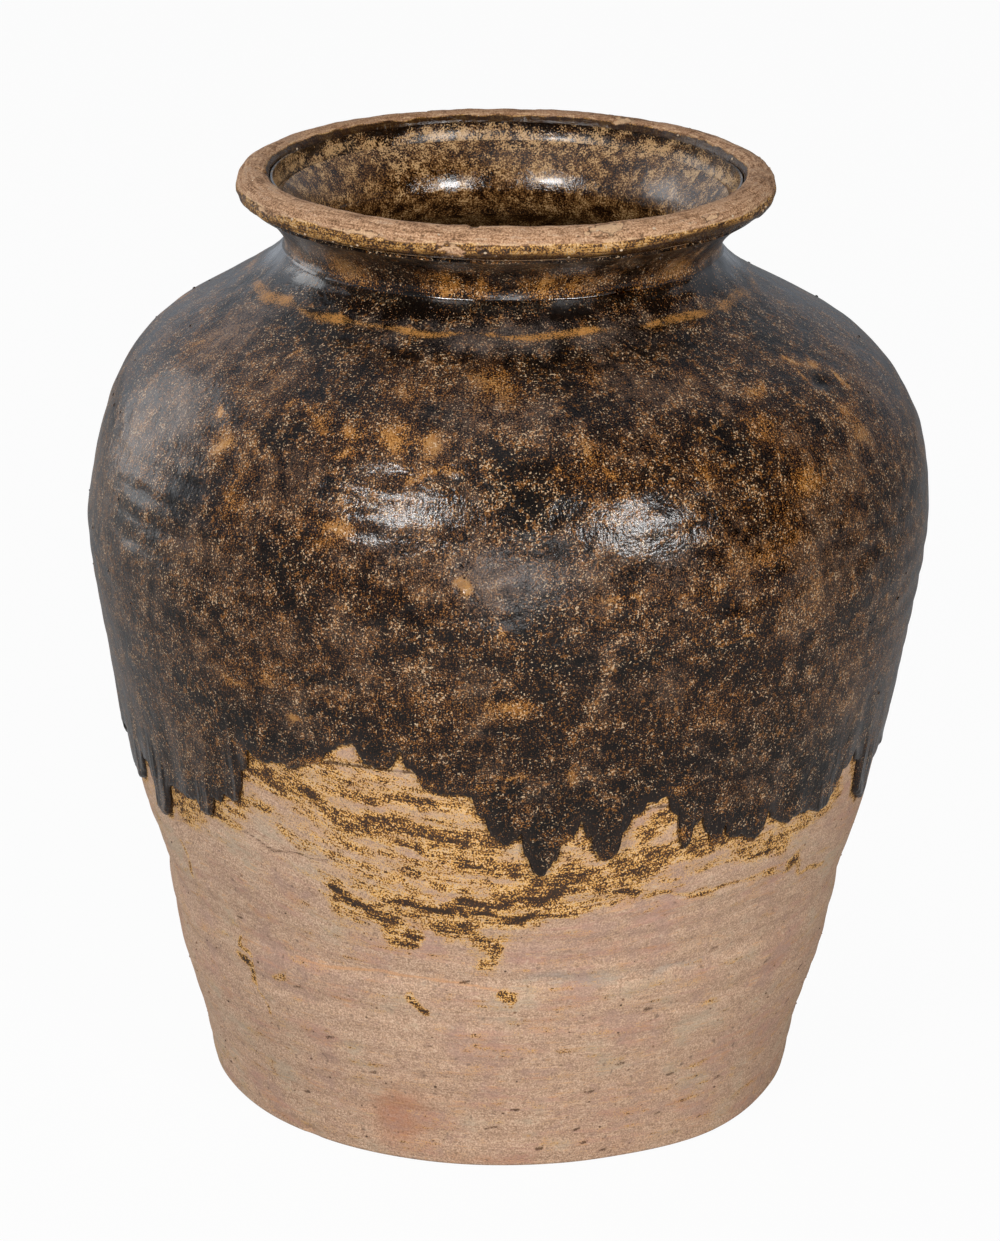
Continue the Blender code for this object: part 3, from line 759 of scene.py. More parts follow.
def iron_glaze():
    """Iron-brown glaze, poured over stoneware and fired with wood. It is glass: dark and glossy
    where it lies thick, orange-brown where it ran thin, with buff grains and fine runs in it."""
    material, tree, shader = new_material("iron_brown_glaze_poured")
    place = add(tree, "ShaderNodeTexCoord").outputs["Object"]
    flow = add(tree, "ShaderNodeAttribute", attribute_name="flow").outputs["Vector"]
    brown, edge, pool, thin, painted_sheen = (
        add(tree, "ShaderNodeAttribute", attribute_name=name).outputs["Fac"]
        for name in ("brown", "edge", "pool", "thin", "painted_sheen")
    )
    down = add(tree, "ShaderNodeMapping", {"Vector": flow, "Scale": (1, 1, 0.16)}).outputs["Vector"]
    fibre, cloud, mottle, grain, sand, rust = (
        add(tree, "ShaderNodeTexNoise", {
            "Vector": way, "Scale": per_mm(size), "Detail": detail, "Roughness": uneven,
        }).outputs["Fac"]
        for way, size, detail, uneven in (
            (down, 0.7, 2, 0.6),  # fine runs, drawn out down the wall
            (place, 24, 3, 0.5), (place, 7, 3, 0.6),  # where it lay thick and thin
            (place, 0.48, 1, 0.6),  # specks of iron, coarser than the real ones
            (place, 0.7, 1, 0.5), (place, 1.6, 2, 0.6),  # buff grains and rusty flecks
        )
    )
    level = vary(tree, brown, ((mottle, 1.0), (cloud, 0.9), (fibre, 1.0), (grain, 2.3)))
    colour = add(tree, "ShaderNodeValToRGB", {"Fac": level}, stops=(
        (0.05, "#080402"), (0.25, "#170c06"), (0.4, "#2d190b"), (0.53, "#4a2c12"),
        (0.67, "#714519"), (0.83, "#a06c2c"), (1.0, "#c69c64"),
    )).outputs["Color"]
    clouded = vary(tree, cloud, ((mottle, 0.8), (grain, 0.5), (pool, -0.4)))
    buff = vary(tree, sand, ((mottle, 0.45), (grain, 0.35), (pool, -0.06)))
    colour = paint(tree, colour, (
        # Grey-brown clouds
        (clouded, 0.66, 0.92, 0.5, "#4a3c32"),
        # Orange-brown mottle where it broke
        (vary(tree, mottle, ((brown, 0.8), (grain, 1.1), (rust, 0.8))), 0.5, 0.9, 0.5, "#9c641f"),
        # Rusty flecks and buff grains
        (vary(tree, rust, ((mottle, 0.5), (grain, 0.5), (pool, -0.1))), 0.62, 0.76, 0.6, "#8a5825"),
        (buff, 0.68, 0.76, 0.9, "#c4a988"),
        # Painted sheen of grey reflection, and an olive haze in the pool at the throat
        (vary(tree, painted_sheen, ((mottle, 0.9), (cloud, 0.9), (grain, 1.2))), 0.1, 1.2, 0.62, "#5b5350"),
        (vary(tree, pool, ((sand, 1.6), (mottle, 0.8))), 1.0, 1.5, 0.55, "#6a5f4c"),
        # The thin coat on the ridge, and the dark line along the hem
        (vary(tree, thin, ((grain, 2.6), (mottle, 1.6))), 0.32, 1.3, 0.85, "#b57f41"),
        (vary(tree, edge, ((grain, 0.25), (mottle, 0.5))), 0.42, 0.08, 0.72, "#1c100a"),
    ))
    # Where it pooled, the glass is smoother, calmer and glossier
    rough = vary(tree, 0.34, ((grain, 0.25), (mottle, 0.35)))
    rough, calm, skin = (
        add(
            tree, "ShaderNodeMath", {0: pool, 1: share, 2: start}, operation="MULTIPLY_ADD"
        ).outputs[0]
        for share, start in ((-0.24, rough), (-0.6, 1.0), (0.6, 0.36))
    )
    relief = vary(tree, 0.0, ((grain, 0.16), (rust, 0.4), (mottle, 1.4), (fibre, 0.2)))
    normal = surface(tree, shader, colour, rough, relief, 0.3, calm)
    tree.links.new(normal, shader.inputs["Coat Normal"])
    tree.links.new(skin, shader.inputs["Coat Weight"])
    shader.inputs["IOR"].default_value = 1.5
    shader.inputs["Specular IOR Level"].default_value = 0.12
    shader.inputs["Coat Roughness"].default_value = 0.05
    return material


def bare_clay():
    """Bare stoneware, turned and wiped wet, then fired: matt, grainy and pinkish buff, with wheel
    lines, grey smoke, red flashes, iron spots and a thin ochre wash of glaze near the hem."""
    material, tree, shader = new_material("bare_stoneware_turned")
    place = add(tree, "ShaderNodeTexCoord").outputs["Object"]
    wash, scratch, sponged, flash, smoke = (
        add(tree, "ShaderNodeAttribute", attribute_name=name).outputs["Fac"]
        for name in ("wash", "scratch", "sponged", "flash", "smoke")
    )
    sweep = add(tree, "ShaderNodeAttribute", attribute_name="sweep").outputs["Vector"]
    along, brushed = (
        add(tree, "ShaderNodeMapping", {
            "Vector": sweep, "Scale": (share, share, 1),
        }).outputs["Vector"]
        for share in (0.07, 0.3)
    )
    streak, hair, cloud, mottle, grain, sand, pour = (
        add(tree, "ShaderNodeTexNoise", {
            "Vector": way, "Scale": per_mm(size), "Detail": detail, "Roughness": uneven,
        }).outputs["Fac"]
        for way, size, detail, uneven in (
            (along, 2.2, 3, 0.6), (along, 0.8, 2, 0.6),  # the wheel's streaks and hair lines
            (place, 22, 3, 0.5), (place, 6, 5, 0.7),  # uneven firing
            (place, 0.6, 1, 0.6),  # the body's grain, coarser than the real one
            (place, 2.1, 1, 0.5),  # iron spots and pale grains of stone
            (brushed, 3.5, 3, 0.6),  # how the wash was brushed and poured
        )
    )
    tone = vary(tree, 0.52, (
        (cloud, 0.5), (streak, 0.35), (mottle, 0.75), (grain, 2.1), (hair, 0.6),
    ))
    clay = add(tree, "ShaderNodeValToRGB", {"Fac": tone}, stops=(
        (0.1, "#977a62"), (0.38, "#b29178"), (0.6, "#c19f85"), (0.9, "#d7b99f"),
    )).outputs["Color"]
    clay = paint(tree, clay, (
        # Pinkish streaks, smoke and flashes
        (vary(tree, streak, ((mottle, 0.5), (cloud, -0.5))), 0.5, 0.7, 0.5, "#b38577"),
        (vary(tree, smoke, ((streak, 0.9), (mottle, 0.5))), 0.3, 0.9, 0.5, "#949189"),
        (vary(tree, flash, ((mottle, 0.6), (grain, 0.3))), 0.15, 0.95, 0.6, "#ae6f4c"),
        # Grey-buff and pinkish clouds
        (vary(tree, cloud, ((streak, 0.7), (mottle, 0.7))), 0.52, 0.76, 0.5, "#a59882"),
        (vary(tree, cloud, ((streak, 0.4), (mottle, 0.9))), 0.44, 0.24, 0.4, "#b08f83"),
        # Orange hair lines of the wheel and the sponge
        (vary(tree, hair, ((mottle, 0.5),)), 0.62, 0.72, 0.5, "#cd9866"),
        (vary(tree, sponged, ((grain, 0.6), (mottle, 0.6))), 0.35, 0.8, 0.55, "#cc9463"),
        # Iron spots and pale grains
        (vary(tree, sand, ((grain, 0.35),)), 0.69, 0.77, 0.6, "#665348"),
        (vary(tree, sand, ((grain, 0.35),)), 0.3, 0.2, 0.4, "#dcc6ac"),
    ))
    film = vary(tree, wash, ((pour, 1.15), (streak, 0.8), (hair, 1.0), (mottle, 1.4), (grain, 2.2)))
    washed = add(tree, "ShaderNodeValToRGB", {"Fac": film}, stops=(
        (0.0, "#d4b594"), (0.16, "#dfb883"), (0.36, "#deaa5c"), (0.48, "#b27c35"), (0.6, "#70471d"),
        (0.76, "#432811"), (0.92, "#20120a"),
    )).outputs["Color"]
    covered = vary(tree, wash, ((grain, 0.7), (pour, 1.0), (mottle, 0.5), (streak, 0.9)))
    clay = paint(tree, clay, (
        (covered, 0.08, 0.45, 0.95, washed),
        (vary(tree, scratch, ((grain, 1.3), (mottle, 1.5))), 0.35, 0.7, 0.8, "#3a2210"),
    ))
    rough = vary(tree, 0.8, ((grain, 0.2), (wash, -0.2)))
    relief = vary(tree, 0.0, (
        (grain, 0.7), (hair, 0.4), (streak, 0.5), (mottle, 0.5), (sand, -0.5),
    ))
    surface(tree, shader, clay, rough, relief, 0.35, 0.8)
    shader.inputs["Specular IOR Level"].default_value = 0.25
    return material


def rim_clay():
    """The rim's roll, wiped bare and worn by lids and hands: matt brown-buff clay with pits,
    and what is left of the glaze as a gold and brown band along its lower edge."""
    material, tree, shader = new_material("rim_stoneware_wiped")
    place = add(tree, "ShaderNodeTexCoord").outputs["Object"]
    glaze_band_and_shade, worn, far_side_shade, crack = (
        add(tree, "ShaderNodeAttribute", attribute_name=name).outputs["Fac"]
        for name in ("glaze_band_and_shade", "worn", "far_side_shade", "crack")
    )
    way = add(tree, "ShaderNodeAttribute", attribute_name="round").outputs["Vector"]
    along = add(tree, "ShaderNodeMapping", {
        "Vector": way, "Scale": (0.12, 0.12, 1),
    }).outputs["Vector"]
    streak, cloud, mottle, grain, sand = (
        add(tree, "ShaderNodeTexNoise", {
            "Vector": way, "Scale": per_mm(size), "Detail": detail, "Roughness": uneven,
        }).outputs["Fac"]
        for way, size, detail, uneven in (
            (along, 1.2, 3, 0.6),  # how it was wiped round
            (place, 14, 3, 0.5), (place, 4, 5, 0.7),  # uneven firing and wear
            (place, 0.6, 1, 0.6),  # the body's grain, coarser than the real one
            (place, 1.6, 1, 0.5),  # pits
        )
    )
    tone = vary(tree, 0.5, ((cloud, 0.6), (mottle, 0.9), (streak, 1.5), (grain, 1.6)))
    clay = add(tree, "ShaderNodeValToRGB", {"Fac": tone}, stops=(
        (0.05, "#684930"), (0.34, "#967153"), (0.56, "#b28a69"), (0.8, "#c9a27f"), (1.0, "#dcbd9a"),
    )).outputs["Color"]
    glazed = add(tree, "ShaderNodeValToRGB", {
        "Fac": vary(tree, 0.38, ((mottle, 1.8), (grain, 1.7), (streak, 0.8))),
    }, stops=(
        (0.1, "#1c0f06"), (0.28, "#4b2c11"), (0.44, "#835a25"), (0.58, "#b4853e"),
        (0.76, "#cda36e"), (1.0, "#e2c9a2"),
    )).outputs["Color"]
    clay = paint(tree, clay, (
        # Dark clouds, painted shade on the rim's far side, and pits
        (vary(tree, cloud, ((streak, 1.2), (mottle, 0.7))), 0.58, 0.8, 0.45, "#6f5448"),
        (vary(tree, far_side_shade, ((mottle, 0.8),)), 0.2, 1.0, 0.35, "#76543a"),
        (vary(tree, sand, ((grain, 0.3),)), 0.66, 0.74, 0.6, "#3f2b1d"),
        # The band of glaze, dark along the mouth's edge; painted shade darkens it toward the roll's
        # underside and on its right
        (vary(tree, glaze_band_and_shade, ((mottle, 0.9), (grain, 0.5))), 0.35, 0.6, 0.95, glazed),
        (vary(tree, glaze_band_and_shade, ((mottle, 1.6), (grain, 2.2))), 1.1, 1.9, 0.9, "#28170b"),
        # Pale worn clay, and a dark ring round each chip
        (vary(tree, worn, ((grain, 0.8), (mottle, 0.9))), 0.5, 1.1, 0.7, "#cfac86"),
        (vary(tree, crack, ((grain, 0.8), (mottle, 1.0))), 0.4, 0.85, 0.7, "#3a271a"),
    ))
    rough = vary(tree, 0.7, ((grain, 0.2), (glaze_band_and_shade, -0.4)))
    relief = vary(tree, 0.0, ((grain, 0.6), (mottle, 1.0), (streak, 0.5), (sand, -0.5)))
    surface(tree, shader, clay, rough, relief, 0.35, 0.7)
    shader.inputs["Specular IOR Level"].default_value = 0.25
    return material


def lining_glaze():
    """The thin glaze inside, poured in and out: glossy brown, with buff blotches of ash below
    the mouth and a dark line under its edge."""
    material, tree, shader = new_material("lining_glaze_poured")
    place = add(tree, "ShaderNodeTexCoord").outputs["Object"]
    ash, brown = (
        add(tree, "ShaderNodeAttribute", attribute_name=name).outputs["Fac"]
        for name in ("ash", "brown")
    )
    mottle, blotch, grain = (
        add(tree, "ShaderNodeTexNoise", {
            "Vector": place, "Scale": per_mm(size), "Detail": detail, "Roughness": uneven,
        }).outputs["Fac"]
        for size, detail, uneven in (
            (6, 6, 0.72), (4.0, 2, 0.5),  # where ash settled
            (0.6, 1, 0.6),  # specks, coarser than the real ones
        )
    )
    colour = add(tree, "ShaderNodeValToRGB", {
        "Fac": vary(tree, brown, ((mottle, 1.7), (grain, 1.6), (blotch, 0.5))),
    }, stops=(
        (0.0, "#0c0502"), (0.25, "#1f1007"), (0.42, "#462c14"), (0.6, "#714d2a"),
        (0.8, "#9e7a4d"), (1.0, "#bd9b6f"),
    )).outputs["Color"]
    colour = paint(tree, colour, (
        (vary(tree, ash, ((blotch, 1.8), (mottle, 1.5), (grain, 2.2))), 0.45, 0.95, 0.9, "#bf9a6c"),
    ))
    rough = vary(tree, 0.22, ((grain, 0.3), (ash, 0.5)))
    relief = vary(tree, 0.0, ((grain, 0.4), (mottle, 1.2), (blotch, 1.0)))
    surface(tree, shader, colour, rough, relief, 0.35, 0.7)
    shader.inputs["IOR"].default_value = 1.5
    tree.links.new(vary(tree, 0.2, ((ash, -0.7),)), shader.inputs["Coat Weight"])
    shader.inputs["Coat Roughness"].default_value = 0.1
    return material


def base_slab(material):
    """The slab that the pot stands on. Its underside is flat, and its edge is worn uneven."""
    turn = columns(count=720, front_share=0.66)
    edge = 1.8
    corner = np.radians(np.linspace(0, 90, 7))[1:]
    flat = np.linspace(10, outer_radius(edge) - edge, 9)
    side = np.linspace(edge, SLAB_TOP, 14)[1:]
    radius = np.concatenate((
        flat, flat[-1] + edge * np.sin(corner), outer_radius(side), [60.0, 10.0],
    ))
    height = np.concatenate((
        0 * flat, edge * (1 - np.cos(corner)), side, [SLAB_TOP, SLAB_TOP],
    ))
    outside = np.concatenate((0 * flat, np.linspace(0.3, 1, 6), 0 * side + 1, [0, 0]))[:, None]
    level, angle = height[:, None], turn[None, :]
    worn = 0.5 * rise(swell(0, angle, 51, 16, 1), -1.4, 1.4) * (1 - rise(level, 0, 7))
    depth = (wall_marks(level, angle) + worn) * outside
    rings = on_pot(radius[:, None] - depth, level, angle)
    marks = clay_marks(level, angle)
    return turned_piece(
        "foot_slab", rings, marks, material, ["base_slab"],
        ((0, 0, 0), (0, 0, SLAB_TOP)),
    )


def clay_section(name, node, low, high, shown, material):
    """One thrown section of the wall. Above the shown height, glaze covers it and its rows are
    few."""
    turn = columns(count=720, front_share=0.7)[None, :]
    if low < shown < high:
        clear = spaced_levels(low, shown, SHOWN_ROWS)
        levels = np.concatenate((clear, spaced_levels(shown, high, COVERED_ROWS)[1:]))[:, None]
    else:
        levels = spaced_levels(low, high, SHOWN_ROWS if shown > low else HIDDEN_ROWS)[:, None]
    radius, height = below_outline(levels, wall_marks(levels, turn))
    outside = on_pot(radius, height, turn)
    back = spaced_levels(low, high, COVERED_ROWS)[::-1, None]
    radius, height = below_outline(back, smooth_line(WALL_LINE, back))
    inside = on_pot(radius, np.clip(height, low, high), turn)
    inside[0, :, 2], inside[-1, :, 2] = high, low
    rings = np.concatenate((outside, inside))
    marks = clay_marks(np.concatenate((levels, back)), turn)
    return turned_piece(name, rings, marks, material, [node])


def glaze_skirt(material):
    """The lower part of the glaze, down to its hem of runs, with a rounded and beaded edge."""
    turn = columns(count=1440, front_share=0.7)[None, :]
    hem = hem_at(turn)
    rows = 46
    share = (np.arange(rows) / (rows - 1))[:, None] ** 1.6
    levels = hem + (SKIRT_TOP - hem) * share
    distance = from_hem(levels, turn)
    nearby = [hem_at(apart(turn + shift, 0)) for shift in (-0.1, -0.06, 0.06, 0.1)]
    hanging = rise(sum(nearby) / len(nearby) - hem, 0, 14)
    rounded = np.sqrt(1 - (1 - np.clip(distance / HEM_ROUND, 0, 1)) ** 2)
    bead = RUN_BEAD * hanging * np.exp(-((distance / BEAD_FADE) ** 2)) + 0.25 * hump(distance, 4)
    ropes = 0.3 * hump(np.abs(levels - hem), 40) * swell(0, turn, 35, 60, 1)
    fade = 1 - rise(levels, SKIRT_TOP - 22, SKIRT_TOP)
    cover = (GLAZE_COAT + (bead + ropes) * fade) * rounded - CLEARANCE
    radius, height = below_outline(levels, wall_marks(levels, turn) - cover)
    back = hem + (SKIRT_TOP - hem) * np.array((1.0, 0.7, 0.4, 0.15))[:, None]
    back_radius, back_height = below_outline(back, wall_marks(back, turn) + SUNK)
    rings = np.concatenate((on_pot(radius, height, turn), on_pot(back_radius, back_height, turn)))
    everywhere = np.concatenate((levels, back))
    marks = glaze_marks(everywhere, turn, np.concatenate((distance, back - hem)))
    return turned_piece("glaze_skirt", rings, marks, material, ["outer_glaze"])


def glaze_coat(name, low, high, rows, material):
    """The glaze on one stretch of the belly, shoulder or neck, above the skirt."""
    turn = columns(count=760, front_share=0.66)[None, :]
    levels = even_levels(low, high, rows)[:, None]
    fade = rise(levels, SKIRT_TOP, SKIRT_TOP + 10) * (1 - rise(levels, COAT_TOP - 3, COAT_TOP))
    cover = GLAZE_COAT - CLEARANCE - dents(levels, turn, COAT_DENTS) * fade
    radius, height = below_outline(levels, wall_marks(levels, turn) - cover)
    radius = radius + POOL_FILL * hump(levels - THROAT_LEVEL, 4.5)
    back = even_levels(low, high, rows // 5)[::-1, None]
    back_radius, back_height = below_outline(back, wall_marks(back, turn) + SUNK)
    rings = np.concatenate((on_pot(radius, height, turn), on_pot(back_radius, back_height, turn)))
    everywhere = np.concatenate((levels, back))
    marks = glaze_marks(everywhere, turn, np.full(np.broadcast(everywhere, turn).shape, FAR))
    return turned_piece(name, rings, marks, material, ["outer_glaze"])


def rim_marks(part, turn, chipped):
    """What is painted on the rim, from its share of the way round the roll: the band of glaze
    along its lower edge, with painted shade toward the roll's underside and on its right, worn and
    cracked places, painted shade on its far side, and the way it was wiped."""
    swept = 30 * part
    glaze_band_and_shade = 1 - rise(part + 0.03 * swell(swept, turn, 56, 20, 20), 0.42, 0.56)
    # Painted shade: the band is painted darker toward the roll's underside and on its right side
    shade = 0.2 * swell(swept, turn, 58, 9, 40) + 0.7 * hump(apart(turn, 48), math.radians(70))
    glaze_band_and_shade = glaze_band_and_shade * (1 + rise(0.31 - part + 0.22 * shade, 0, 0.16) * (0.75 + shade))
    glaze_band_and_shade = np.maximum(glaze_band_and_shade, 1.9 * rise(part + 0.012 * swell(0, turn, 59, 60, 1), 0.92, 0.945))
    glaze_band_and_shade = glaze_band_and_shade * (1 - 0.95 * chipped)
    worn = rise(chipped + 0.4 * swell(swept, turn, 57, 30, 20), 0, 1)
    pale_line = np.maximum(hump(part - 0.50, 0.035), hump(part - 0.905, 0.025))
    pale_line = pale_line * rise(swell(0, turn, 60, 70, 1), -0.8, 0.6)
    wiped = (MOUTH_RADIUS * np.sin(turn), -MOUTH_RADIUS * np.cos(turn), 36 * part)
    return {
        "glaze_band_and_shade": glaze_band_and_shade,
        "worn": np.maximum(worn, 1.2 * pale_line),
        "crack": 4 * chipped * (1 - chipped),
        # Painted shade: the rim is painted darker toward its far side
        "far_side_shade": rise(-np.cos(turn), 0.2, 1.0),
        "round": MM * np.stack([np.broadcast_to(v, chipped.shape) for v in wiped], axis=-1),
    }


def rim_roll(material):
    """The rolled rim, uneven and nicked, over the crease of the neck."""
    turn = columns(count=1000, front_share=0.62)[None, :]
    part = np.linspace(0, 1, 58)[:, None]
    way = np.linspace(0, 1, len(ROLL_LINE))
    across, up = (smooth_line(list(zip(way, line)), part) for line in zip(*ROLL_LINE))
    radius = MOUTH_RADIUS + RIM_WIDTH * across
    height = LIP + (RIM_TOP - LIP - CLEARANCE) * up
    step_radius, step_height = (np.gradient(line[:, 0])[:, None] for line in (radius, height))
    length = np.hypot(step_radius, step_height)
    depth = dents(30 * part, turn, RIM_DENTS)
    ragged = 1 + 0.4 * swell(30 * part, turn, 55, 150, 3)
    chipped = 0 * turn
    for degrees, level, wide, high, deep in RIM_SCARS:
        away = np.hypot(MOUTH_RADIUS * apart(turn, degrees) / wide, (part - level) / high) * ragged
        chip = rise(1 - away, 0, 0.5)
        chipped = np.maximum(chipped, chip)
        depth = depth + deep * chip
    depth = depth * rise(part, 0, 0.08)
    radius = radius - depth * step_height / length
    height = height + depth * step_radius / length
    roll = on_pot(radius, height, turn)
    seat = on_pot(MOUTH_RADIUS + 0.1 + 0 * turn, LIP + 0.1, turn)
    rings = np.concatenate((roll, seat))
    marks = rim_marks(
        np.concatenate((part, [[1.0]])), turn, np.concatenate((chipped, 0 * turn))
    )
    marks["grit"] = 1 - rise(rings[..., 2], RIM_TOP - 1.2, RIM_TOP - 1.0)
    return turned_piece("rim_roll_wiped", rings, marks, material, ["rim_roll"])


def lining(material):
    """The glaze that lines the inside, from the mouth's edge down over the floor."""
    turn = columns(count=520, front_share=0.4)[None, :]
    low = SLAB_TOP + LINING_GAP
    unseen = np.linspace(low + 6, 225, 26)
    levels = np.concatenate((unseen, even_levels(225, LIP - 4.5, 84)[1:]))[:, None]

    # The edge at the mouth: its height, and how far it leans in
    edge_height = LIP + np.array([[-2.0], [0.5], [2.8], [5.0], [7.2]])
    edge_lean = np.array([[2.6], [1.1], [0.25], [0.0], [0.0]])
    floor_radius = np.array([[12.0], [50.0], [88.0]])

    def face(depth):
        radius, height = below_outline(levels, smooth_line(WALL_LINE, levels) + depth)
        return on_pot(radius, height, turn)

    def edge(depth):
        return on_pot(MOUTH_RADIUS - LINING_GAP - depth - edge_lean + 0 * turn, edge_height, turn)

    def floor(height):
        return on_pot(floor_radius + 0 * turn, height + 0 * floor_radius, turn)

    uneven = LINING_COAT - dents(levels, turn, LINING_DENTS)
    outer = np.concatenate((floor(low), face(LINING_GAP), edge(0.0)))
    inner = np.concatenate((floor(low + LINING_COAT), face(uneven), edge(0.7)))[::-1]
    heights = np.concatenate((np.full((3, 1), low), levels, edge_height))
    everywhere = np.concatenate((heights, heights[::-1]))
    under = everywhere + 2.0 * swell(0, turn, 62, 18, 1)
    ash = 0.5 * hump(under - LIP - 2, 11) + 0.36 * hump(under - LIP + 7, 19)
    brown = 0.36 + 0.16 * hump(everywhere - LIP + 6, 22) - 0.3 * rise(under, LIP + 5.4, LIP + 7)
    # Painted light: below the throat the lining is painted lighter, as if lit from above
    brown = brown + 0.34 * (1 - rise(everywhere, 288, 306))
    marks = {"ash": ash, "brown": brown + 0 * turn}
    return turned_piece(
        "lining_coat", np.concatenate((outer, inner)), marks, material,
        ["inner_glaze"], ((0, 0, low), (0, 0, low + LINING_COAT)),
    )


def kiln_grit(name, source, grains, size, sink, material, slot, mark=None):
    """Grains of kiln grit, scattered over a piece by a node tree and sunk a little in its face.
    Grains is how many a square metre holds, size the largest one in metres, sink the share of it
    that is sunk, and mark the painted value that says where they are."""
    inputs = {"Grains per square metre": grains, "Grain size": size, "Depth sunk": sink}
    tree = bpy.data.node_groups.new(name, "GeometryNodeTree")
    tree.interface.new_socket("Geometry", in_out="INPUT", socket_type="NodeSocketGeometry")
    sockets = {
        label: tree.interface.new_socket(
            label, in_out="INPUT", socket_type="NodeSocketFloat"
        ).identifier
        for label in inputs
    }
    tree.interface.new_socket("Geometry", in_out="OUTPUT", socket_type="NodeSocketGeometry")
    given = add(tree, "NodeGroupInput").outputs
    chance = given["Grains per square metre"]
    if mark:
        amount = add(
            tree, "GeometryNodeInputNamedAttribute", {"Name": mark}, data_type="FLOAT"
        ).outputs["Attribute"]
        chance = add(
            tree, "ShaderNodeMath", {0: chance, 1: amount}, operation="MULTIPLY"
        ).outputs[0]
    points = add(tree, "GeometryNodeDistributePointsOnFaces", {
        "Mesh": given["Geometry"], "Density": chance, "Seed": 5,
    }).outputs
    # The smallest grains are about a third of the largest, and all are a little flat
    scale = add(
        tree, "FunctionNodeRandomValue", {2: 0.35, 3: 1.0, "Seed": 6}, data_type="FLOAT"
    ).outputs[1]
    scale = add(
        tree, "ShaderNodeMath", {0: scale, 1: given["Grain size"]}, operation="MULTIPLY"
    ).outputs[0]
    grain = add(tree, "GeometryNodeMeshIcoSphere", {
        "Radius": 0.5, "Subdivisions": 2,
    }).outputs["Mesh"]
    flat = add(tree, "GeometryNodeTransform", {
        "Geometry": grain, "Scale": (1.0, 0.8, 0.6),
    }).outputs["Geometry"]
    instances = add(tree, "GeometryNodeInstanceOnPoints", {
        "Points": points["Points"], "Instance": flat, "Rotation": points["Rotation"],
        "Scale": scale,
    }).outputs["Instances"]
    down = add(
        tree, "ShaderNodeMath", {0: scale, 1: given["Depth sunk"]}, operation="MULTIPLY"
    ).outputs[0]
    down = add(tree, "ShaderNodeMath", {0: down, 1: -1.0}, operation="MULTIPLY").outputs[0]
    offset = add(tree, "ShaderNodeCombineXYZ", {"Z": down}).outputs[0]
    sunk = add(tree, "GeometryNodeTranslateInstances", {
        "Instances": instances, "Translation": offset,
    }).outputs["Instances"]
    real = add(tree, "GeometryNodeRealizeInstances", {"Geometry": sunk}).outputs["Geometry"]
    smooth = add(tree, "GeometryNodeSetShadeSmooth", {"Geometry": real}).outputs["Geometry"]
    done = add(tree, "GeometryNodeSetMaterial", {
        "Geometry": smooth, "Material": material,
    }).outputs["Geometry"]
    add(tree, "NodeGroupOutput", {"Geometry": done})
    maker = bpy.data.objects.new(name, source.data)
    bpy.context.scene.collection.objects.link(maker)
    modifier = maker.modifiers.new(name, "NODES")
    modifier.node_group = tree
    for label, value in inputs.items():
        modifier[sockets[label]] = value
    sprinkled = maker.evaluated_get(bpy.context.evaluated_depsgraph_get())
    made = bpy.data.meshes.new_from_object(sprinkled)
    bpy.data.objects.remove(maker)
    piece = bpy.data.objects.new(name, made)
    bpy.context.scene.collection.objects.link(piece)
    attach(piece, "root")
    return piece


def grit_finish(name, dark, pale, roughness):
    """Sand and kiln grit that the firing stuck fast: each grain has its own tone."""
    material, tree, shader = new_material(name)
    place = add(tree, "ShaderNodeTexCoord").outputs["Object"]
    tone = add(tree, "ShaderNodeTexNoise", {
        "Vector": place, "Scale": per_mm(6), "Detail": 1,
    }).outputs["Fac"]
    colour = add(tree, "ShaderNodeValToRGB", {"Fac": tone}, stops=((0.35, dark), (0.65, pale)))
    tree.links.new(colour.outputs["Color"], shader.inputs["Base Color"])
    shader.inputs["Roughness"].default_value = roughness
    return material


def backdrop():
    """A world that is plain white to the camera, and to the pot a dim room, brighter behind it
    and on its left."""
    world = bpy.data.worlds.new("studio")
    bpy.context.scene.world = world
    world.use_nodes = True
    tree = world.node_tree
    back = tree.nodes["Background"]
    seen = add(tree, "ShaderNodeLightPath").outputs["Is Camera Ray"]
    way = add(tree, "ShaderNodeTexCoord").outputs["Generated"]
    split = add(tree, "ShaderNodeSeparateXYZ", {"Vector": way})
    sides = add(tree, "ShaderNodeMapRange", {
        "Value": split.outputs["Y"], "From Min": -0.62, "From Max": 0.45,
        "To Min": 0.07, "To Max": 0.56,
    }).outputs["Result"]
    left = add(tree, "ShaderNodeMath", {
        0: split.outputs["X"], 1: -0.28, 2: sides,
    }, operation="MULTIPLY_ADD").outputs[0]
    level = add(tree, "ShaderNodeMix", {0: seen, 2: left, 3: 1.0}, data_type="FLOAT").outputs[0]
    tree.links.new(level, back.inputs["Strength"])
    tint = add(tree, "ShaderNodeMix", {
        0: seen, 6: linear("#e8f0fb"), 7: linear("#ffffff"),
    }, data_type="RGBA").outputs[2]
    tree.links.new(tint, back.inputs["Color"])


def paper_floor():
    """A sheet of pale paper under the pot. It takes the pot's shadow, and looks almost white."""
    material, tree, shader = new_material("studio_floor_paper")
    shader.inputs["Base Color"].default_value = linear("#b8b7b5")
    shader.inputs["Roughness"].default_value = 0.9
    seen = add(tree, "ShaderNodeLightPath").outputs["Is Camera Ray"]
    glow = add(tree, "ShaderNodeEmission", {"Color": linear("#ffffff"), "Strength": 1.0})
    share = add(tree, "ShaderNodeMath", {0: seen, 1: 0.96}, operation="MULTIPLY").outputs[0]
    both = add(tree, "ShaderNodeMixShader", {0: share, 1: shader.outputs[0], 2: glow.outputs[0]})
    tree.links.new(both.outputs[0], tree.nodes["Material Output"].inputs["Surface"])
    bpy.ops.mesh.primitive_plane_add(size=8, location=(0, 0, 0))
    floor = bpy.context.object
    floor.name = "studio_floor"
    floor.data.materials.append(material)


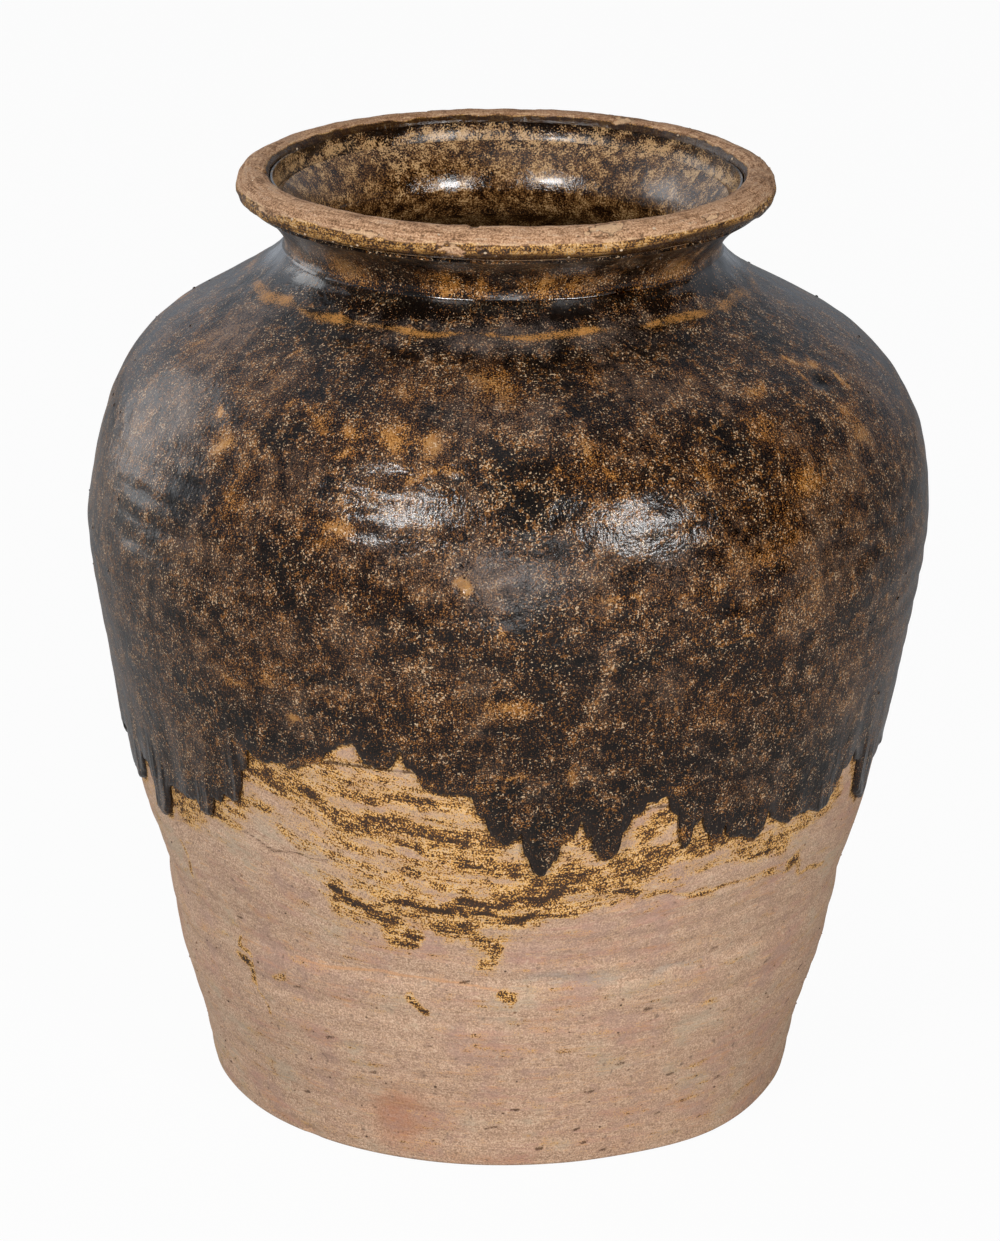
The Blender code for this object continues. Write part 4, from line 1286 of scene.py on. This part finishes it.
def soft_lamps():
    """Five soft lamps: two in front that show as highlights on the shoulder, and fainter ones
    above, far on the left and in front. Each has degrees to the right of the front and up, metres
    away, width and height, and watts."""
    aim = np.array((0.0, 0.0, 0.2))
    lamps = (
        ("left_softbox", (-30, 29), 1.5, (0.34, 0.22), 11),
        ("right_softbox", (34, 20), 1.5, (0.36, 0.28), 12.5),
        ("top_softbox", (-20, 66), 1.6, (1.0, 0.8), 1.5),
        ("left_wall", (-119, 14), 1.7, (0.9, 1.3), 7.4),
        ("front_fill", (3, 5), 1.6, (0.5, 0.34), 3.3),
    )
    for name, (side, up), away, (wide, high), power in lamps:
        side, up = math.radians(side), math.radians(up)
        level = math.cos(up)
        way = np.array((math.sin(side) * level, -math.cos(side) * level, math.sin(up)))
        light = bpy.data.lights.new(name, "AREA")
        light.shape = "RECTANGLE"
        light.size, light.size_y = wide, high
        light.energy = power
        lamp = bpy.data.objects.new(name, light)
        bpy.context.scene.collection.objects.link(lamp)
        turn = Matrix.Rotation(side, 4, "Z") @ Matrix.Rotation(math.pi / 2 - up, 4, "X")
        lamp.matrix_world = Matrix.Translation(aim + away * way) @ turn


def photo_camera():
    """The camera of the photograph."""
    view = bpy.data.cameras.new("camera")
    view.lens = CAMERA_LENS
    view.sensor_width = 36
    camera = bpy.data.objects.new("camera", view)
    bpy.context.scene.collection.objects.link(camera)
    tilt = Matrix.Rotation(math.radians(90 - CAMERA_DOWN), 4, "X")
    lean = Matrix.Rotation(math.radians(CAMERA_LEAN), 4, "Z")
    camera.matrix_world = Matrix.Translation(CAMERA_PLACE) @ tilt @ lean
    bpy.context.scene.camera = camera
    bpy.context.scene.view_settings.view_transform = "Standard"


def dress_pot():
    """Makes every piece, from the foot up, and then the grit that stuck to them."""
    clay = bare_clay()
    glaze = iron_glaze()
    slab = base_slab(clay)
    lower = clay_section("lower_wall_turned", "lower_wall", SLAB_TOP, LOW_SEAM, LOW_SEAM, clay)
    middle = clay_section("middle_wall_turned", "middle_wall", LOW_SEAM, BELLY, 170, clay)
    clay_section("shoulder_wall_turned", "shoulder_wall", BELLY, RIDGE, BELLY, clay)
    clay_section("neck_collar_turned", "neck_collar", RIDGE, LIP, RIDGE, clay)
    skirt = glaze_skirt(glaze)
    belly = glaze_coat("glaze_belly", SKIRT_TOP, COAT_SPLIT, 96, glaze)
    shoulder = glaze_coat("glaze_shoulder", COAT_SPLIT, COAT_TOP, 92, glaze)
    rim = rim_roll(rim_clay())
    lining(lining_glaze())
    glassy = grit_finish("kiln_grit_glazed_over", "#1a100a", "#3a2616", 0.25)
    sandy = grit_finish("kiln_grit_fired_on", "#4f3a2b", "#8a6b52", 0.85)
    pale = grit_finish("wadding_clay_stuck", "#a08a72", "#cbb498", 0.8)
    glazed, bare = "iron_brown_glaze", "bare_stoneware"
    for row in (
        ("grit_in_glaze_belly", belly, 2600, 0.0019, 0.16, glassy, glazed, "grit"),
        ("grit_in_glaze_shoulder", shoulder, 2600, 0.0019, 0.16, glassy, glazed, "grit"),
        ("grit_in_glaze_skirt", skirt, 1500, 0.0016, 0.16, glassy, glazed, "grit"),
        ("sand_in_lower_wall", lower, 5200, 0.0011, 0.22, sandy, bare),
        ("sand_in_middle_wall", middle, 2400, 0.0010, 0.22, sandy, bare),
        ("sand_in_foot_slab", slab, 3000, 0.0011, 0.22, sandy, bare, "grit"),
        ("crumbs_on_rim", rim, 5200, 0.0013, 0.2, pale, "rim_stoneware", "grit"),
    ):
        kiln_grit(*row)


bpy.ops.object.select_all(action="DESELECT")
dress_pot()
backdrop()
paper_floor()
soft_lamps()
photo_camera()
